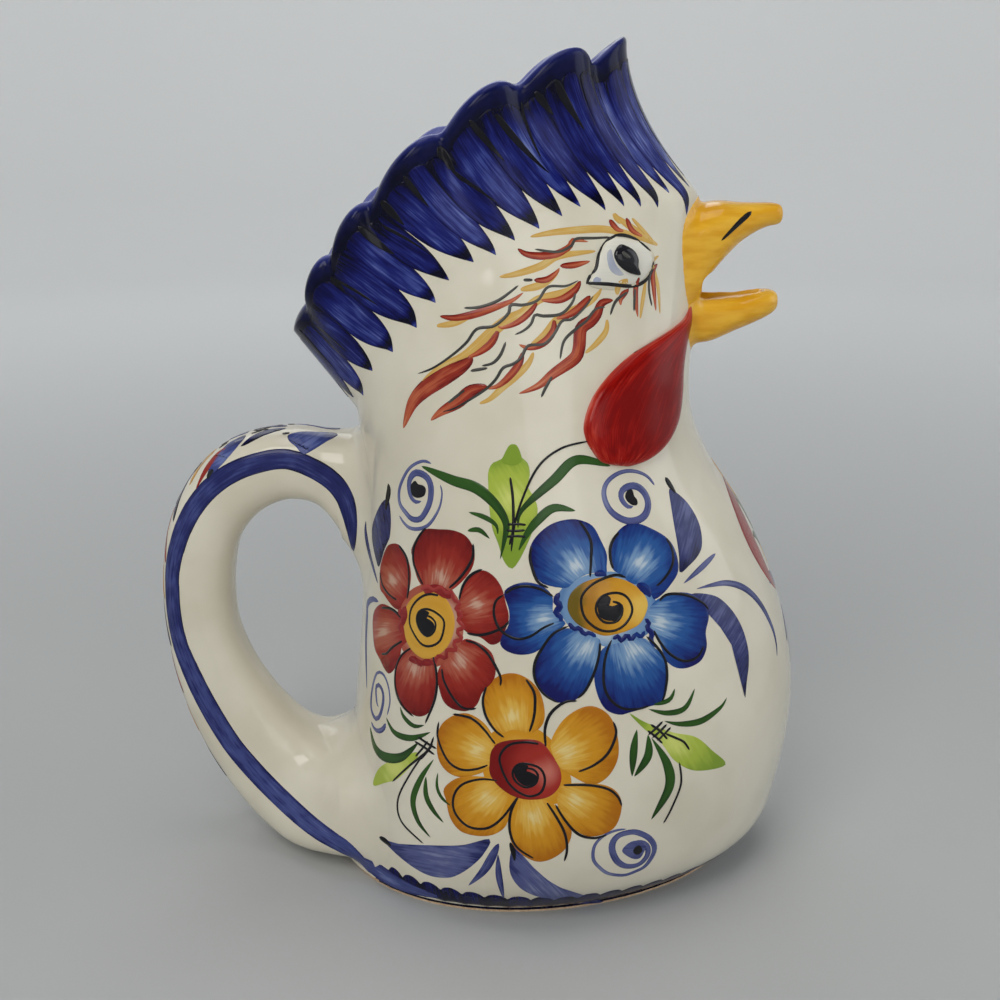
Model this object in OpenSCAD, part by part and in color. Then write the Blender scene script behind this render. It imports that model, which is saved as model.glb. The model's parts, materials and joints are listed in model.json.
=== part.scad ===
// Chicken pitcher: a free-standing rooster jug in glazed earthenware.
// The beak points along +X, +Z is up and the foot rests on z = 0 with its centre at the origin.
// The ruffled comb is the open rim, the open beak is the spout and the back carries an ear handle.

/* [Body] */
// Radius of the belly at its widest
belly_r = 84; // [80:1:88]
// Height of the forehead, where the comb starts at the front
forehead_h = 252; // [244:1:262]
// Height of the nape, where the comb starts at the back
nape_h = 173; // [168:1:178]
// How far the head's sides rise above the line from nape to forehead
crown_arch = 22; // [18:1:26]
// Thickness of the body's wall
wall = 6; // [5:0.5:7]
// Thickness of the floor inside
floor_t = 7; // [6:0.5:9]

/* [Foot] */
// How far the base reaches forwards under the breast
foot_front = 65; // [62:1:68]
// How far the base reaches back under the handle
foot_back = 93; // [90:1:96]
// Half width of the base
foot_half_w = 65; // [62:1:68]
// Height of the bare foot
foot_h = 3; // [2:0.5:4]
// How far the foot is set back from the body's edge
foot_setback = 2; // [1:0.5:3]

/* [Comb] */
// Height of the comb above the forehead
comb_front_h = 51; // [46:1:55]
// How far the comb's front leans back over its height
comb_front_lean = 27; // [23:1:31]
// Height of the comb above the nape
comb_back_h = 29; // [26:1:32]
// How far the comb's back leans out over its height
comb_back_lean = 23; // [19:1:26]
// Half of the mouth's width between the comb's sides
mouth_half_w = 48; // [45:1:51]
// How far the rim's sides rise above the line from its back to its front
rim_arch = 19; // [16:0.5:22]
// Thickness of the comb's wall
comb_wall = 6; // [5:0.5:7]
// Thickness of the rolled lip at the middle of a lobe
lip_t = 8; // [7:0.5:9]
// How far the notches between the lobes are pinched in
notch_in = 5.5; // [3:0.5:6.5]
// How far the notches dip below the lobes
notch_dip = 6; // [4:0.5:8]

/* [Beak] */
// Length of the beak beyond the face
beak_len = 31; // [27:1:34]
// How far the mouth's corner lies below the forehead
beak_drop = 35; // [32:1:38]
// Height of the upper beak above the mouth's corner
beak_rise = 33; // [30:1:34]
// Depth of the lower beak below the mouth's corner
beak_fall = 20; // [17:1:23]
// Half width of the beak where it leaves the face
beak_half_w = 25; // [23:1:27]
// Half width of the throat that pours through the face
throat_half_w = 11; // [9:0.5:12]
// Half height of that throat
throat_half_h = 8; // [6:0.5:9]

/* [Wattles and eyes] */
// How far a wattle stands out of the neck
wattle_rise = 5; // [3:0.5:6]
// How far an eye stands out of the head
eye_rise = 2.6; // [1.5:0.1:3.5]
// How far the pupil stands out of the eye
pupil_rise = 1.2; // [0.8:0.1:1.6]

/* [Handle] */
// How far the handle reaches behind the belly
handle_reach = 73; // [66:1:78]
// How far the handle's top lies below the nape
handle_drop = 7; // [3:1:13]
// Half width of the handle where the hand holds it
handle_half_w = 15; // [13:0.5:17]

/* [Hidden] */

// Height of the mouth's corner and of the handle's top
beak_z = forehead_h - beak_drop;
handle_top = nape_h - handle_drop;

// Colours of the pieces
glaze_white = "#f1ece0";
cobalt = "#26357c";
golden = "#dda72c";
dark_red = "#8f2220";
bare_clay = "#d9c3a4";

// Angles round the jug, from the beak, at which the comb's notches lie, and the steps drawn in each lobe
notch_angles = [29, 60, 85, 110, 130, 150];
lobe_steps = [4, 6, 5, 5, 4, 4, 5];
lobe_edges = concat([-notch_angles[0]], notch_angles, [360 - notch_angles[5]]);
lobe_roundness = 2.2;
ring_splits = 2;
comb_rings = 9;
lip_rings = 5;

// How sharply the comb leans near its foot, its notches deepen and its lip thickens with height, and the
// powers of the arch in front of the jug's sides and behind them
lean_power = 1.8;
notch_power = 1.2;
lip_power = 3;
arch_power_front = 2;
arch_power_back = 1.4;

// Rings of the body from just over the foot to the comb: front x, front z, back x, back z, half depth, arch.
// x and the half depth are shares of belly_r, and the heights are shares of the way from the foot to the
// forehead in front and to the nape behind.
body_shares = [
    [0.915, 0.052, 1.060, 0.070, 0.895, 0.00],
    [0.970, 0.124, 1.036, 0.170, 0.964, 0.00],
    [1.006, 0.209, 1.014, 0.276, 0.994, 0.00],
    [1.003, 0.293, 0.996, 0.382, 1.000, 0.00],
    [0.952, 0.378, 0.975, 0.488, 0.984, 0.00],
    [0.860, 0.462, 0.960, 0.582, 0.954, 0.00],
    [0.742, 0.542, 0.952, 0.665, 0.914, 0.00],
    [0.600, 0.614, 0.947, 0.735, 0.872, 0.02],
    [0.518, 0.675, 0.944, 0.788, 0.832, 0.06],
    [0.494, 0.727, 0.942, 0.829, 0.794, 0.13],
    [0.498, 0.783, 0.941, 0.865, 0.756, 0.24],
    [0.502, 0.839, 0.941, 0.900, 0.716, 0.39],
    [0.504, 0.896, 0.942, 0.935, 0.674, 0.57],
    [0.506, 0.952, 0.946, 0.970, 0.626, 0.78],
    [0.512, 1.000, 0.952, 1.000, 0.575, 1.00]
];
head_egg_share = 0.12;
base_egg_share = 0.12;
base_egg_rows = 4;
crown_lean_share = 0.64;
rim_lean_share = 0.45;
rim_egg_share = 0.05;
mouth_waist_share = 0.04;
inner_foot_share = 0.5;

// Handle sections from the neck round to the foot: outer x, outer z, inner x, inner z, half width.
// x is a share of handle_reach behind the belly, z of handle_top and the width of handle_half_w.
handle_shares = [
    [-0.12, 0.990, -0.12, 0.675, 1.30],
    [0.00, 0.990, 0.015, 0.712, 1.22],
    [0.12, 0.992, 0.055, 0.768, 1.12],
    [0.27, 1.000, 0.160, 0.826, 1.04],
    [0.45, 0.994, 0.300, 0.840, 1.00],
    [0.62, 0.968, 0.425, 0.822, 1.00],
    [0.76, 0.922, 0.520, 0.788, 1.00],
    [0.87, 0.858, 0.590, 0.740, 1.00],
    [0.95, 0.776, 0.625, 0.675, 1.00],
    [0.99, 0.682, 0.637, 0.602, 1.00],
    [1.00, 0.580, 0.625, 0.530, 1.00],
    [0.98, 0.472, 0.575, 0.463, 1.00],
    [0.93, 0.362, 0.500, 0.400, 1.02],
    [0.84, 0.253, 0.400, 0.338, 1.08],
    [0.71, 0.150, 0.285, 0.285, 1.22],
    [0.54, 0.062, 0.175, 0.258, 1.52],
    [0.34, 0.020, 0.080, 0.250, 2.15],
    [0.12, 0.018, 0.000, 0.258, 2.75],
    [-0.12, 0.018, -0.12, 0.270, 3.05],
    [-0.30, 0.018, -0.30, 0.275, 3.15]
];
handle_sides = 20;
handle_squareness = 2.7;
skirt_squareness = 3.6;
handle_splits = 2;

// Beak sections from inside the head to the tip: reach, top, bottom, half width.
// Reach is a share of beak_len from the face, the heights are shares of beak_rise or beak_fall from the
// mouth's corner and the width is a share of beak_half_w.
upper_beak_shares = [
    [-0.42, 0.97, -0.20, 1.00],
    [-0.06, 1.00, -0.18, 0.86],
    [0.06, 1.00, 0.00, 0.76],
    [0.16, 0.99, 0.18, 0.67],
    [0.30, 0.98, 0.34, 0.57],
    [0.48, 0.965, 0.51, 0.44],
    [0.66, 0.95, 0.64, 0.33],
    [0.82, 0.93, 0.72, 0.24],
    [0.93, 0.90, 0.76, 0.16],
    [1.00, 0.86, 0.81, 0.07]
];
lower_beak_shares = [
    [-0.42, 0.30, 0.94, 0.76],
    [-0.06, 0.20, 0.98, 0.70],
    [0.06, 0.00, 0.97, 0.64],
    [0.20, -0.03, 0.90, 0.58],
    [0.34, -0.03, 0.80, 0.53],
    [0.50, -0.02, 0.70, 0.46],
    [0.66, 0.00, 0.57, 0.38],
    [0.82, 0.00, 0.42, 0.28],
    [0.92, -0.05, 0.29, 0.18],
    [0.98, -0.12, 0.20, 0.07]
];
// Throat sections: reach, height over the mouth's corner as a share of its half height, and sizes
throat_shares = [
    [-0.75, 0.25, 1.10, 1.08],
    [-0.50, 0.25, 1.05, 1.04],
    [-0.25, 0.25, 1.00, 1.00],
    [-0.02, 0.25, 0.96, 0.98],
    [0.10, 0.25, 0.90, 0.92],
    [0.26, 0.25, 0.74, 0.82],
    [0.44, 0.20, 0.56, 0.66],
    [0.62, 0.15, 0.40, 0.48],
    [0.80, 0.10, 0.22, 0.30]
];
beak_sides = 20;
root_squareness = 3;
tip_squareness = 2.2;

// Wattle and eye outlines on the skin. Each section runs across the piece from its edge towards the beak to
// its edge towards the tail: row of the body and angle at the one, row and angle at the other, and rise.
// The rows are counted up the body's rings and the rise is a share of the piece's own rise.
wattle_shares = [
    [12.02, 15.0, 12.06, 17.0, 0.15],
    [11.75, 14.5, 11.98, 23.0, 0.45],
    [11.45, 14.5, 11.89, 31.5, 0.65],
    [11.06, 15.0, 11.80, 43.0, 0.80],
    [10.70, 16.0, 11.69, 52.5, 0.90],
    [10.28, 18.0, 11.43, 61.0, 1.00],
    [9.90, 21.5, 11.08, 66.8, 1.00],
    [9.56, 27.0, 10.61, 69.8, 0.98],
    [9.30, 34.0, 10.22, 69.5, 0.92],
    [9.14, 42.0, 9.87, 67.8, 0.80],
    [9.08, 49.0, 9.54, 65.5, 0.58],
    [9.12, 55.5, 9.32, 61.5, 0.25]
];
eye_shares = [
    [13.13, 49.5, 13.28, 59.5, 0.20],
    [13.19, 45.5, 13.44, 63.0, 0.55],
    [13.34, 42.0, 13.60, 62.3, 0.80],
    [13.54, 40.2, 13.77, 61.3, 0.95],
    [13.76, 41.0, 13.95, 60.0, 1.00],
    [13.92, 43.0, 14.10, 58.5, 0.90],
    [14.05, 46.0, 14.20, 57.0, 0.70],
    [14.16, 49.5, 14.27, 55.0, 0.30]
];
pupil_shares = [
    [13.46, 48.0, 13.50, 51.5, 0.45],
    [13.53, 46.4, 13.58, 53.3, 0.75],
    [13.63, 45.2, 13.68, 54.6, 0.95],
    [13.74, 45.0, 13.79, 54.8, 1.00],
    [13.84, 46.0, 13.89, 53.8, 0.80],
    [13.92, 47.8, 13.96, 52.0, 0.50]
];
relief_steps = 10;

function mix(a, b, s) = a + (b - a) * s;

// A smooth curve through four rows of numbers, between the second and the third
function curve(p0, p1, p2, p3, s) =
    0.5 * (2 * p1 + (p2 - p0) * s + (2 * p0 - 5 * p1 + 4 * p2 - p3) * s * s
        + (3 * p1 - p0 - 3 * p2 + p3) * s * s * s);

function row_at(rows, t) =
    let (last = len(rows) - 1, i = min(floor(t), last - 1))
    curve(rows[max(i - 1, 0)], rows[i], rows[i + 1], rows[min(i + 2, last)], t - i);

function signed_power(v, p) = sign(v) * pow(abs(v), p);

// A row holds front x, front z, back x, back z, half depth, arch, lean share and egg share
foot_row = [foot_front, foot_h, -foot_back, foot_h, foot_half_w, 0, crown_lean_share, base_egg_share];
body_rows = concat([foot_row], [
    for (i = [0:len(body_shares) - 1]) let (s = body_shares[i]) [
        belly_r * s[0],
        mix(foot_h, forehead_h, s[1]),
        -belly_r * s[2],
        mix(foot_h, nape_h, s[3]),
        belly_r * s[4],
        crown_arch * s[5],
        crown_lean_share,
        head_egg_share * s[5] + base_egg_share * max(1 - (i + 1) / base_egg_rows, 0)
    ]
]);
top_row = len(body_rows) - 1;
crease = body_rows[top_row];
face_x = body_rows[top_row - 2][0];

// The comb's ring at a share of its height: it leans back in front, leans out behind and has a slight waist
function comb_row(s) = [
    crease[0] - comb_front_lean * (1 - pow(1 - s, lean_power)),
    crease[1] + comb_front_h * s,
    crease[2] - comb_back_lean * s,
    crease[3] + comb_back_h * s,
    mix(crease[4], mouth_half_w, s) - mouth_half_w * mouth_waist_share * sin(180 * s),
    mix(crown_arch, rim_arch, s),
    mix(crown_lean_share, rim_lean_share, s),
    mix(head_egg_share, rim_egg_share, s)
];

// A point of a ring at an angle, moved inwards by inset and down by dip
function ring_point(row, angle, inset = 0, dip = 0) =
    let (
        half = [row[0] - row[2], row[1] - row[3]] / 2,
        centre = [row[0] + row[2], row[1] + row[3]] / 2,
        run = norm(half),
        along = half / run,
        across = [cos(angle) / run, sin(angle) / row[4]],
        outward = across / norm(across),
        rise = row[5] * pow(abs(sin(angle)), cos(angle) > 0 ? arch_power_front : arch_power_back),
        reach = run * cos(angle) - inset * outward[0]
    )
    [
        centre[0] + along[0] * reach - row[6] * rise,
        row[4] * sin(angle) * (1 - row[7] * cos(angle)) - inset * outward[1],
        centre[1] + along[1] * reach + rise - dip
    ];

// Angles of the points of every ring, with one on each notch
half_angles = [
    for (i = [0:len(lobe_steps) - 1], j = [0:lobe_steps[i] - 1])
        let (from = i == 0 ? 0 : notch_angles[i - 1], to = i == len(notch_angles) ? 180 : notch_angles[i])
        mix(from, to, j / lobe_steps[i])
];
half_count = len(half_angles);
angles = concat(half_angles, [180], [for (i = [half_count - 1:-1:1]) -half_angles[i]]);

// How near an angle is to a notch: 1 on the notch and 0 at the middle of a lobe
function pinch(angle) =
    let (
        a = abs(angle),
        lobe = len([for (n = notch_angles) if (a > n) n]),
        s = (a - lobe_edges[lobe]) / (lobe_edges[lobe + 1] - lobe_edges[lobe])
    )
    pow(abs(2 * s - 1), lobe_roundness);

function body_ring(t, inset = 0) = [for (a = angles) ring_point(row_at(body_rows, t), a, inset)];

// A ring of the comb at a share of its height, set in from its outer face and lifted at the lip
function comb_ring(s, inset, lift = 0) = [
    for (a = angles)
        let (grip = pinch(a) * pow(s, notch_power), thickness = mix(1, comb_wall / lip_t, grip))
        ring_point(comb_row(s), a, inset * thickness + notch_in * grip, notch_dip * grip - lift)
];

// A point on the body's skin, given by its row and angle, and moved outwards by rise
function skin_point(t, angle, rise = 0) = ring_point(row_at(body_rows, t), angle, -rise);

// Triangles that join rings of as many points each, closed by end faces or into a loop
module loft(rings, looped = false) {
    count = len(rings[0]);
    last = len(rings) - 1;
    pairs = looped ? last : last - 1;
    sides = [
        for (i = [0:pairs], j = [0:count - 1])
            let (
                a = i * count + j,
                b = i * count + (j + 1) % count,
                c = (i + 1) % len(rings) * count + (j + 1) % count,
                d = (i + 1) % len(rings) * count + j
            )
            each [[a, c, b], [a, d, c]]
    ];
    ends = looped ? [] : [
        [for (j = [0:count - 1]) j],
        [for (j = [count - 1:-1:0]) last * count + j]
    ];
    polyhedron(points = [for (r = rings) each r], faces = concat(sides, ends), convexity = 8);
}

// A run of hulls through convex sections
module hull_run(sections) {
    for (i = [0:len(sections) - 2]) hull() loft([sections[i], sections[i + 1]]);
}

// The filled outer form of the body, which every piece applied to it is fitted to
module body_form() {
    crown = body_ring(top_row);
    lid = [for (p = crown) [mix(p[0], crease[2] / 2, 1 / 2), p[1] / 2, max(p[2], forehead_h)]];
    loft(concat([for (t = [0:1 / ring_splits:top_row]) body_ring(t)], [lid]));
}

// The waterway from inside the head to the lower beak's channel
module throat() {
    hull_run([for (s = throat_shares) oval_section(
        face_x + beak_len * s[0],
        beak_z + throat_half_h * s[1],
        throat_half_h * s[2],
        throat_half_w * s[3],
        tip_squareness
    )]);
}

// A flat oval across X
function oval_section(x, z, half_h, half_w, squareness) = [
    for (i = [0:beak_sides - 1])
        let (a = 360 * i / beak_sides)
        [
            x,
            half_w * signed_power(cos(a), 2 / squareness),
            z + half_h * signed_power(sin(a), 2 / squareness)
        ]
];

module body() {
    outer = [for (t = [0:1 / ring_splits:top_row]) body_ring(t)];
    inner = [for (t = [top_row:-1:1]) body_ring(t, wall)];
    floor_ring = [for (a = angles) ring_point(foot_row, a, wall * inner_foot_share, -floor_t)];
    color(glaze_white) difference() {
        loft(concat(outer, inner, [floor_ring]));
        throat();
    }
}

module foot() {
    outline = [for (a = angles) let (p = ring_point(foot_row, a, foot_setback)) [p[0], p[1]]];
    color(bare_clay) linear_extrude(foot_h) polygon(outline);
}

module comb() {
    outer = [for (i = [0:comb_rings - 1]) comb_ring(i / (comb_rings - 1), 0)];
    inner = [
        for (i = [comb_rings - 1:-1:0])
            let (s = i / (comb_rings - 1))
            comb_ring(s, mix(comb_wall, lip_t, pow(s, lip_power)))
    ];
    lip = [
        for (i = [1:lip_rings])
            let (a = 180 * i / (lip_rings + 1))
            comb_ring(1, lip_t / 2 * (1 - cos(a)), lip_t / 2 * sin(a))
    ];
    color(cobalt) loft(concat(outer, lip, inner), looped = true);
}

function beak_section(s, fall) =
    let (
        top = beak_z + beak_rise * s[1],
        bottom = beak_z + beak_rise * s[2],
        low_top = beak_z + beak_fall * s[1],
        low_bottom = beak_z - beak_fall * s[2],
        high = fall ? low_top : top,
        low = fall ? low_bottom : bottom
    )
    oval_section(
        face_x + beak_len * s[0],
        (high + low) / 2,
        (high - low) / 2,
        beak_half_w * s[3],
        mix(root_squareness, tip_squareness, min(max(s[0] * 2, 0), 1))
    );

module upper_beak_form() {
    hull_run([for (s = upper_beak_shares) beak_section(s, false)]);
}

module upper_beak() {
    color(golden) difference() {
        upper_beak_form();
        body_form();
        throat();
    }
}

module lower_beak_form() {
    hull_run([for (s = lower_beak_shares) beak_section(s, true)]);
}

module lower_beak() {
    color(golden) difference() {
        lower_beak_form();
        upper_beak_form();
        body_form();
        throat();
    }
}

// A raised patch on the skin: each section is a low arch across it, and side is 1 for left and -1 for right
function relief_section(s, rise, side) = [
    for (i = [0:relief_steps])
        let (a = 180 * i / relief_steps, over = (1 - cos(a)) / 2)
        skin_point(mix(s[0], s[2], over), side * mix(s[1], s[3], over), rise * s[4] * sin(a))
];

module relief(shares, rise, side) {
    hull_run([for (s = shares) relief_section(s, rise, side)]);
}

module wattle(side) {
    color(dark_red) difference() {
        relief(wattle_shares, wattle_rise, side);
        body_form();
        upper_beak_form();
        lower_beak_form();
    }
}

module eye(side) {
    color(glaze_white) difference() {
        union() {
            relief(eye_shares, eye_rise, side);
            relief(pupil_shares, eye_rise + pupil_rise, side);
        }
        body_form();
    }
}

function handle_section(s) =
    let (
        outer = [-belly_r - handle_reach * s[0], handle_top * s[1]],
        inner = [-belly_r - handle_reach * s[2], handle_top * s[3]],
        centre = (outer + inner) / 2,
        spoke = (outer - inner) / 2,
        squareness = mix(handle_squareness, skirt_squareness, min(max(s[4] - 1, 0), 1))
    )
    [
        for (i = [0:handle_sides - 1])
            let (
                a = 360 * i / handle_sides,
                out = signed_power(cos(a), 2 / squareness),
                wide = signed_power(sin(a), 2 / squareness)
            )
            [centre[0] + spoke[0] * out, handle_half_w * s[4] * wide, centre[1] + spoke[1] * out]
    ];

module handle() {
    steps = [0:1 / handle_splits:len(handle_shares) - 1];
    color(glaze_white) difference() {
        hull_run([for (t = steps) handle_section(row_at(handle_shares, t))]);
        body_form();
    }
}

body();
foot();
comb();
upper_beak();
lower_beak();
wattle(1);  // wattle_left
wattle(-1);  // wattle_right
eye(1);  // eye_left
eye(-1);  // eye_right
handle();
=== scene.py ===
import json
import math

import bmesh
import bpy
import numpy as np
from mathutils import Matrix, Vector
from mathutils.bvhtree import BVHTree

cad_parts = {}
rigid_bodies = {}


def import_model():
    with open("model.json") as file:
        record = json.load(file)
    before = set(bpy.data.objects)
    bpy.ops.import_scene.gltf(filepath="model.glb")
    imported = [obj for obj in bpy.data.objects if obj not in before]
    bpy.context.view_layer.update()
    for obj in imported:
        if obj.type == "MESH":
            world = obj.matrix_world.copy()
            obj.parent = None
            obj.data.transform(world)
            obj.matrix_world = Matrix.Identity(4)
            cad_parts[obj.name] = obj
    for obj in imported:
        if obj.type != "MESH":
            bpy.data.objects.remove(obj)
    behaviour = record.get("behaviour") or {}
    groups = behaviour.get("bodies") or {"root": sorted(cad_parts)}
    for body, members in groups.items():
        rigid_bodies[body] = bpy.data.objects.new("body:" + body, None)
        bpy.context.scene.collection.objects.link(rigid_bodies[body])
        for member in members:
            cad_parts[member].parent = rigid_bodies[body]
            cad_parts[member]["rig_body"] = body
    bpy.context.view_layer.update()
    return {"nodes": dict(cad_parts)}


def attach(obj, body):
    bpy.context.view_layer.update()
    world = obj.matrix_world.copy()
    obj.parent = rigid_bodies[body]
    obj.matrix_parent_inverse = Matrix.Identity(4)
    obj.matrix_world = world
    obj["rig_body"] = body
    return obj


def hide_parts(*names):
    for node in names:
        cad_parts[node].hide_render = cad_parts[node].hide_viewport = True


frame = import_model()


# The room: a pale sweep that curves up all round into its own wall, and soft boxes round the jug.
# The camera stands where the photograph's did, half a metre away and a little above the jug's shoulder.
MM = 0.001
CAMERA_MM = (-28.0, -528.0, 292.0)
CAMERA_TILT_DEG = 16.3
FOCAL_PX = 1450.0
FRAME_PX = 1000.0
SENSOR_MM = 36.0
SWEEP_R = 2.6
SWEEP_CURVE_R = 0.9
SWEEP_WALL_H = 2.0
SWEEP_STEPS = 24
SWEEP_SIDES = 96
SWEEP_COLOUR = (0.49, 0.50, 0.50)
SWEEP_ROUGHNESS = 0.7
WORLD_COLOUR = (0.93, 0.96, 1.0, 1)
WORLD_STRENGTH = 0.2
CLIP = (0.05, 20)

camera_data = bpy.data.cameras.new("camera")
camera_data.sensor_width = SENSOR_MM
camera_data.lens = SENSOR_MM * FOCAL_PX / FRAME_PX
camera_data.clip_start, camera_data.clip_end = CLIP
camera = bpy.data.objects.new("camera", camera_data)
camera.location = [c * MM for c in CAMERA_MM]
camera.rotation_euler = (math.radians(90 - CAMERA_TILT_DEG), 0, 0)
bpy.context.scene.collection.objects.link(camera)
bpy.context.scene.camera = camera


def put(name, bm, material=None):
    """A finished bmesh as an object at the origin."""
    mesh = bpy.data.meshes.new(name)
    bm.to_mesh(mesh)
    bm.free()
    piece = bpy.data.objects.new(name, mesh)
    bpy.context.scene.collection.objects.link(piece)
    if material is not None:
        mesh.materials.append(material)
    mesh.shade_smooth()
    return piece


def plain(name, colour, roughness, gloss=0.4):
    """A material of one colour and one roughness, to which a maker of finishes adds."""
    made = bpy.data.materials.new(name)
    made.use_nodes = True
    shader = made.node_tree.nodes["Principled BSDF"]
    shader.inputs["Base Color"].default_value = (*colour, 1)
    shader.inputs["Roughness"].default_value = roughness
    shader.inputs["Specular IOR Level"].default_value = gloss
    return made


def sweep_profile():
    """Half of the sweep's section, from its middle to the top of its wall."""
    points = [(0, 0), (SWEEP_R - SWEEP_CURVE_R, 0)]
    for i in range(1, SWEEP_STEPS + 1):
        turn = math.pi / 2 * i / SWEEP_STEPS
        points.append((
            SWEEP_R - SWEEP_CURVE_R + SWEEP_CURVE_R * math.sin(turn),
            SWEEP_CURVE_R * (1 - math.cos(turn)),
        ))
    return points + [(SWEEP_R, SWEEP_WALL_H)]


bm = bmesh.new()
profile = [bm.verts.new((x, 0, z)) for x, z in sweep_profile()]
edges = [bm.edges.new(pair) for pair in zip(profile, profile[1:])]
bmesh.ops.spin(
    bm, geom=profile + edges, cent=(0, 0, 0), axis=(0, 0, 1),
    angle=math.tau, steps=SWEEP_SIDES, use_merge=True,
)
bmesh.ops.remove_doubles(bm, verts=bm.verts, dist=1e-5)
bmesh.ops.recalc_face_normals(bm, faces=bm.faces)
sweep = put("sweep", bm, plain("sweep_paper", SWEEP_COLOUR, SWEEP_ROUGHNESS))

world = bpy.data.worlds.new("studio")
world.use_nodes = True
background = world.node_tree.nodes["Background"]
background.inputs["Color"].default_value = WORLD_COLOUR
background.inputs["Strength"].default_value = WORLD_STRENGTH
bpy.context.scene.world = world
bpy.context.scene.view_settings.view_transform = "Standard"


def soft_box(name, place, width, height, watts, colour, aim):
    """A rectangular lamp that looks at a point, in metres."""
    light = bpy.data.lights.new(name, "AREA")
    light.shape = "RECTANGLE"
    light.size = width
    light.size_y = height
    light.energy = watts
    light.color = colour
    lamp = bpy.data.objects.new(name, light)
    lamp.location = place
    lamp.rotation_euler = (Vector(aim) - Vector(place)).to_track_quat("-Z", "Y").to_euler()
    bpy.context.scene.collection.objects.link(lamp)


AIM = (-0.03, 0.0, 0.15)
# Name, place, width and height, watts and colour
SOFT_BOXES = (
    ("key_box", (-0.45, -1.0, 1.15), 0.55, 0.8, 6.2, (1.0, 0.98, 0.95)),
    ("front_box", (0.35, -1.5, 0.75), 0.9, 0.9, 3.0, (1.0, 0.99, 0.97)),
    ("side_box", (1.35, 0.1, 0.7), 0.7, 1.2, 2.8, (0.95, 0.98, 1.0)),
    ("back_box", (-0.3, 1.4, 1.1), 1.2, 0.8, 3.4, (0.97, 0.99, 1.0)),
    ("top_box", (0.0, 0.0, 1.7), 1.0, 1.0, 4.6, (1.0, 1.0, 1.0)),
)
for box in SOFT_BOXES:
    soft_box(*box, AIM)
# Strip lights in a ring that face out and wash the sweep's wall
WASH_COUNT = 6
WASH_R = 1.3
WASH_UP = Vector((0, 0, 1.5))
WASH_SIZE = (1.0, 0.3)
WASH_WATTS = 14.0
WASH_AIM_R = 2.6
WASH_AIM_UP = Vector((0, 0, 0.6))
for i in range(WASH_COUNT):
    turn = math.radians(90 + i * 360 / WASH_COUNT)
    way = Vector((math.cos(turn), math.sin(turn), 0))
    soft_box("wash_box_%d" % i, way * WASH_R + WASH_UP, *WASH_SIZE, WASH_WATTS, (1.0, 1.0, 1.0),
             way * WASH_AIM_R + WASH_AIM_UP)


# The thrown and moulded jug: one skin of ivory-glazed earthenware that runs from the bare bottom over belly,
# neck and head, up the ruffled comb to its rolled lip, and down again inside to the floor.
BELLY_R = 84.0
FOREHEAD_H = 252.0
NAPE_H = 173.0
CROWN_ARCH = 22.0
WALL = 6.0
FLOOR_T = 7.0
FOOT_FRONT = 65.0
FOOT_BACK = 93.0
FOOT_HALF_W = 65.0
FOOT_H = 3.0
# Rings from over the foot to the comb: front x, front z, back x, back z, half depth, arch, as in the CAD
BODY_SHARES = (
    (0.915, 0.052, 1.060, 0.070, 0.895, 0.00),
    (0.970, 0.124, 1.036, 0.170, 0.964, 0.00),
    (1.006, 0.209, 1.014, 0.276, 0.994, 0.00),
    (1.003, 0.293, 0.996, 0.382, 1.000, 0.00),
    (0.952, 0.378, 0.975, 0.488, 0.984, 0.00),
    (0.860, 0.462, 0.960, 0.582, 0.954, 0.00),
    (0.742, 0.542, 0.952, 0.665, 0.914, 0.00),
    (0.600, 0.614, 0.947, 0.735, 0.872, 0.02),
    (0.518, 0.675, 0.944, 0.788, 0.832, 0.06),
    (0.494, 0.727, 0.942, 0.829, 0.794, 0.13),
    (0.498, 0.783, 0.941, 0.865, 0.756, 0.24),
    (0.502, 0.839, 0.941, 0.900, 0.716, 0.39),
    (0.504, 0.896, 0.942, 0.935, 0.674, 0.57),
    (0.506, 0.952, 0.946, 0.970, 0.626, 0.78),
    (0.512, 1.000, 0.952, 1.000, 0.575, 1.00),
)
HEAD_EGG_SHARE = 0.12
BASE_EGG_SHARE = 0.12
BASE_EGG_ROWS = 4
CROWN_LEAN_SHARE = 0.64
RIM_LEAN_SHARE = 0.45
RIM_EGG_SHARE = 0.05
MOUTH_WAIST_SHARE = 0.04
ARCH_POWER_FRONT = 2.0
ARCH_POWER_BACK = 1.4
INNER_FOOT_SHARE = 0.5
COMB_FRONT_H = 51.0
COMB_FRONT_LEAN = 27.0
COMB_BACK_H = 29.0
COMB_BACK_LEAN = 23.0
MOUTH_HALF_W = 48.0
RIM_ARCH = 19.0
COMB_WALL = 6.0
LIP_T = 8.0
NOTCH_IN = 5.5
NOTCH_DIP = 6.0
NOTCH_ANGLES = (29, 60, 85, 110, 130, 150)
LOBE_STEPS = (16, 20, 18, 18, 16, 16, 18)
LOBE_ROUNDNESS = 2.2
LEAN_POWER = 1.8
NOTCH_POWER = 1.2
LIP_POWER = 3.0
OUTER_STEPS = 150
COMB_STEPS = 44
LIP_STEPS = 14
INNER_COMB_STEPS = 24
INNER_STEPS = 56
BOTTOM_SHARES = (0.0, 0.4, 0.8, 0.95)
CREASE_SOFTENING = 9
CREASE_REACH = 7
ROUND_SOFTENING = 2
# How many rings over its crease the comb starts, and how many before the inner crease its softening ends
COMB_START = 4
COMB_END = 3


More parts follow.
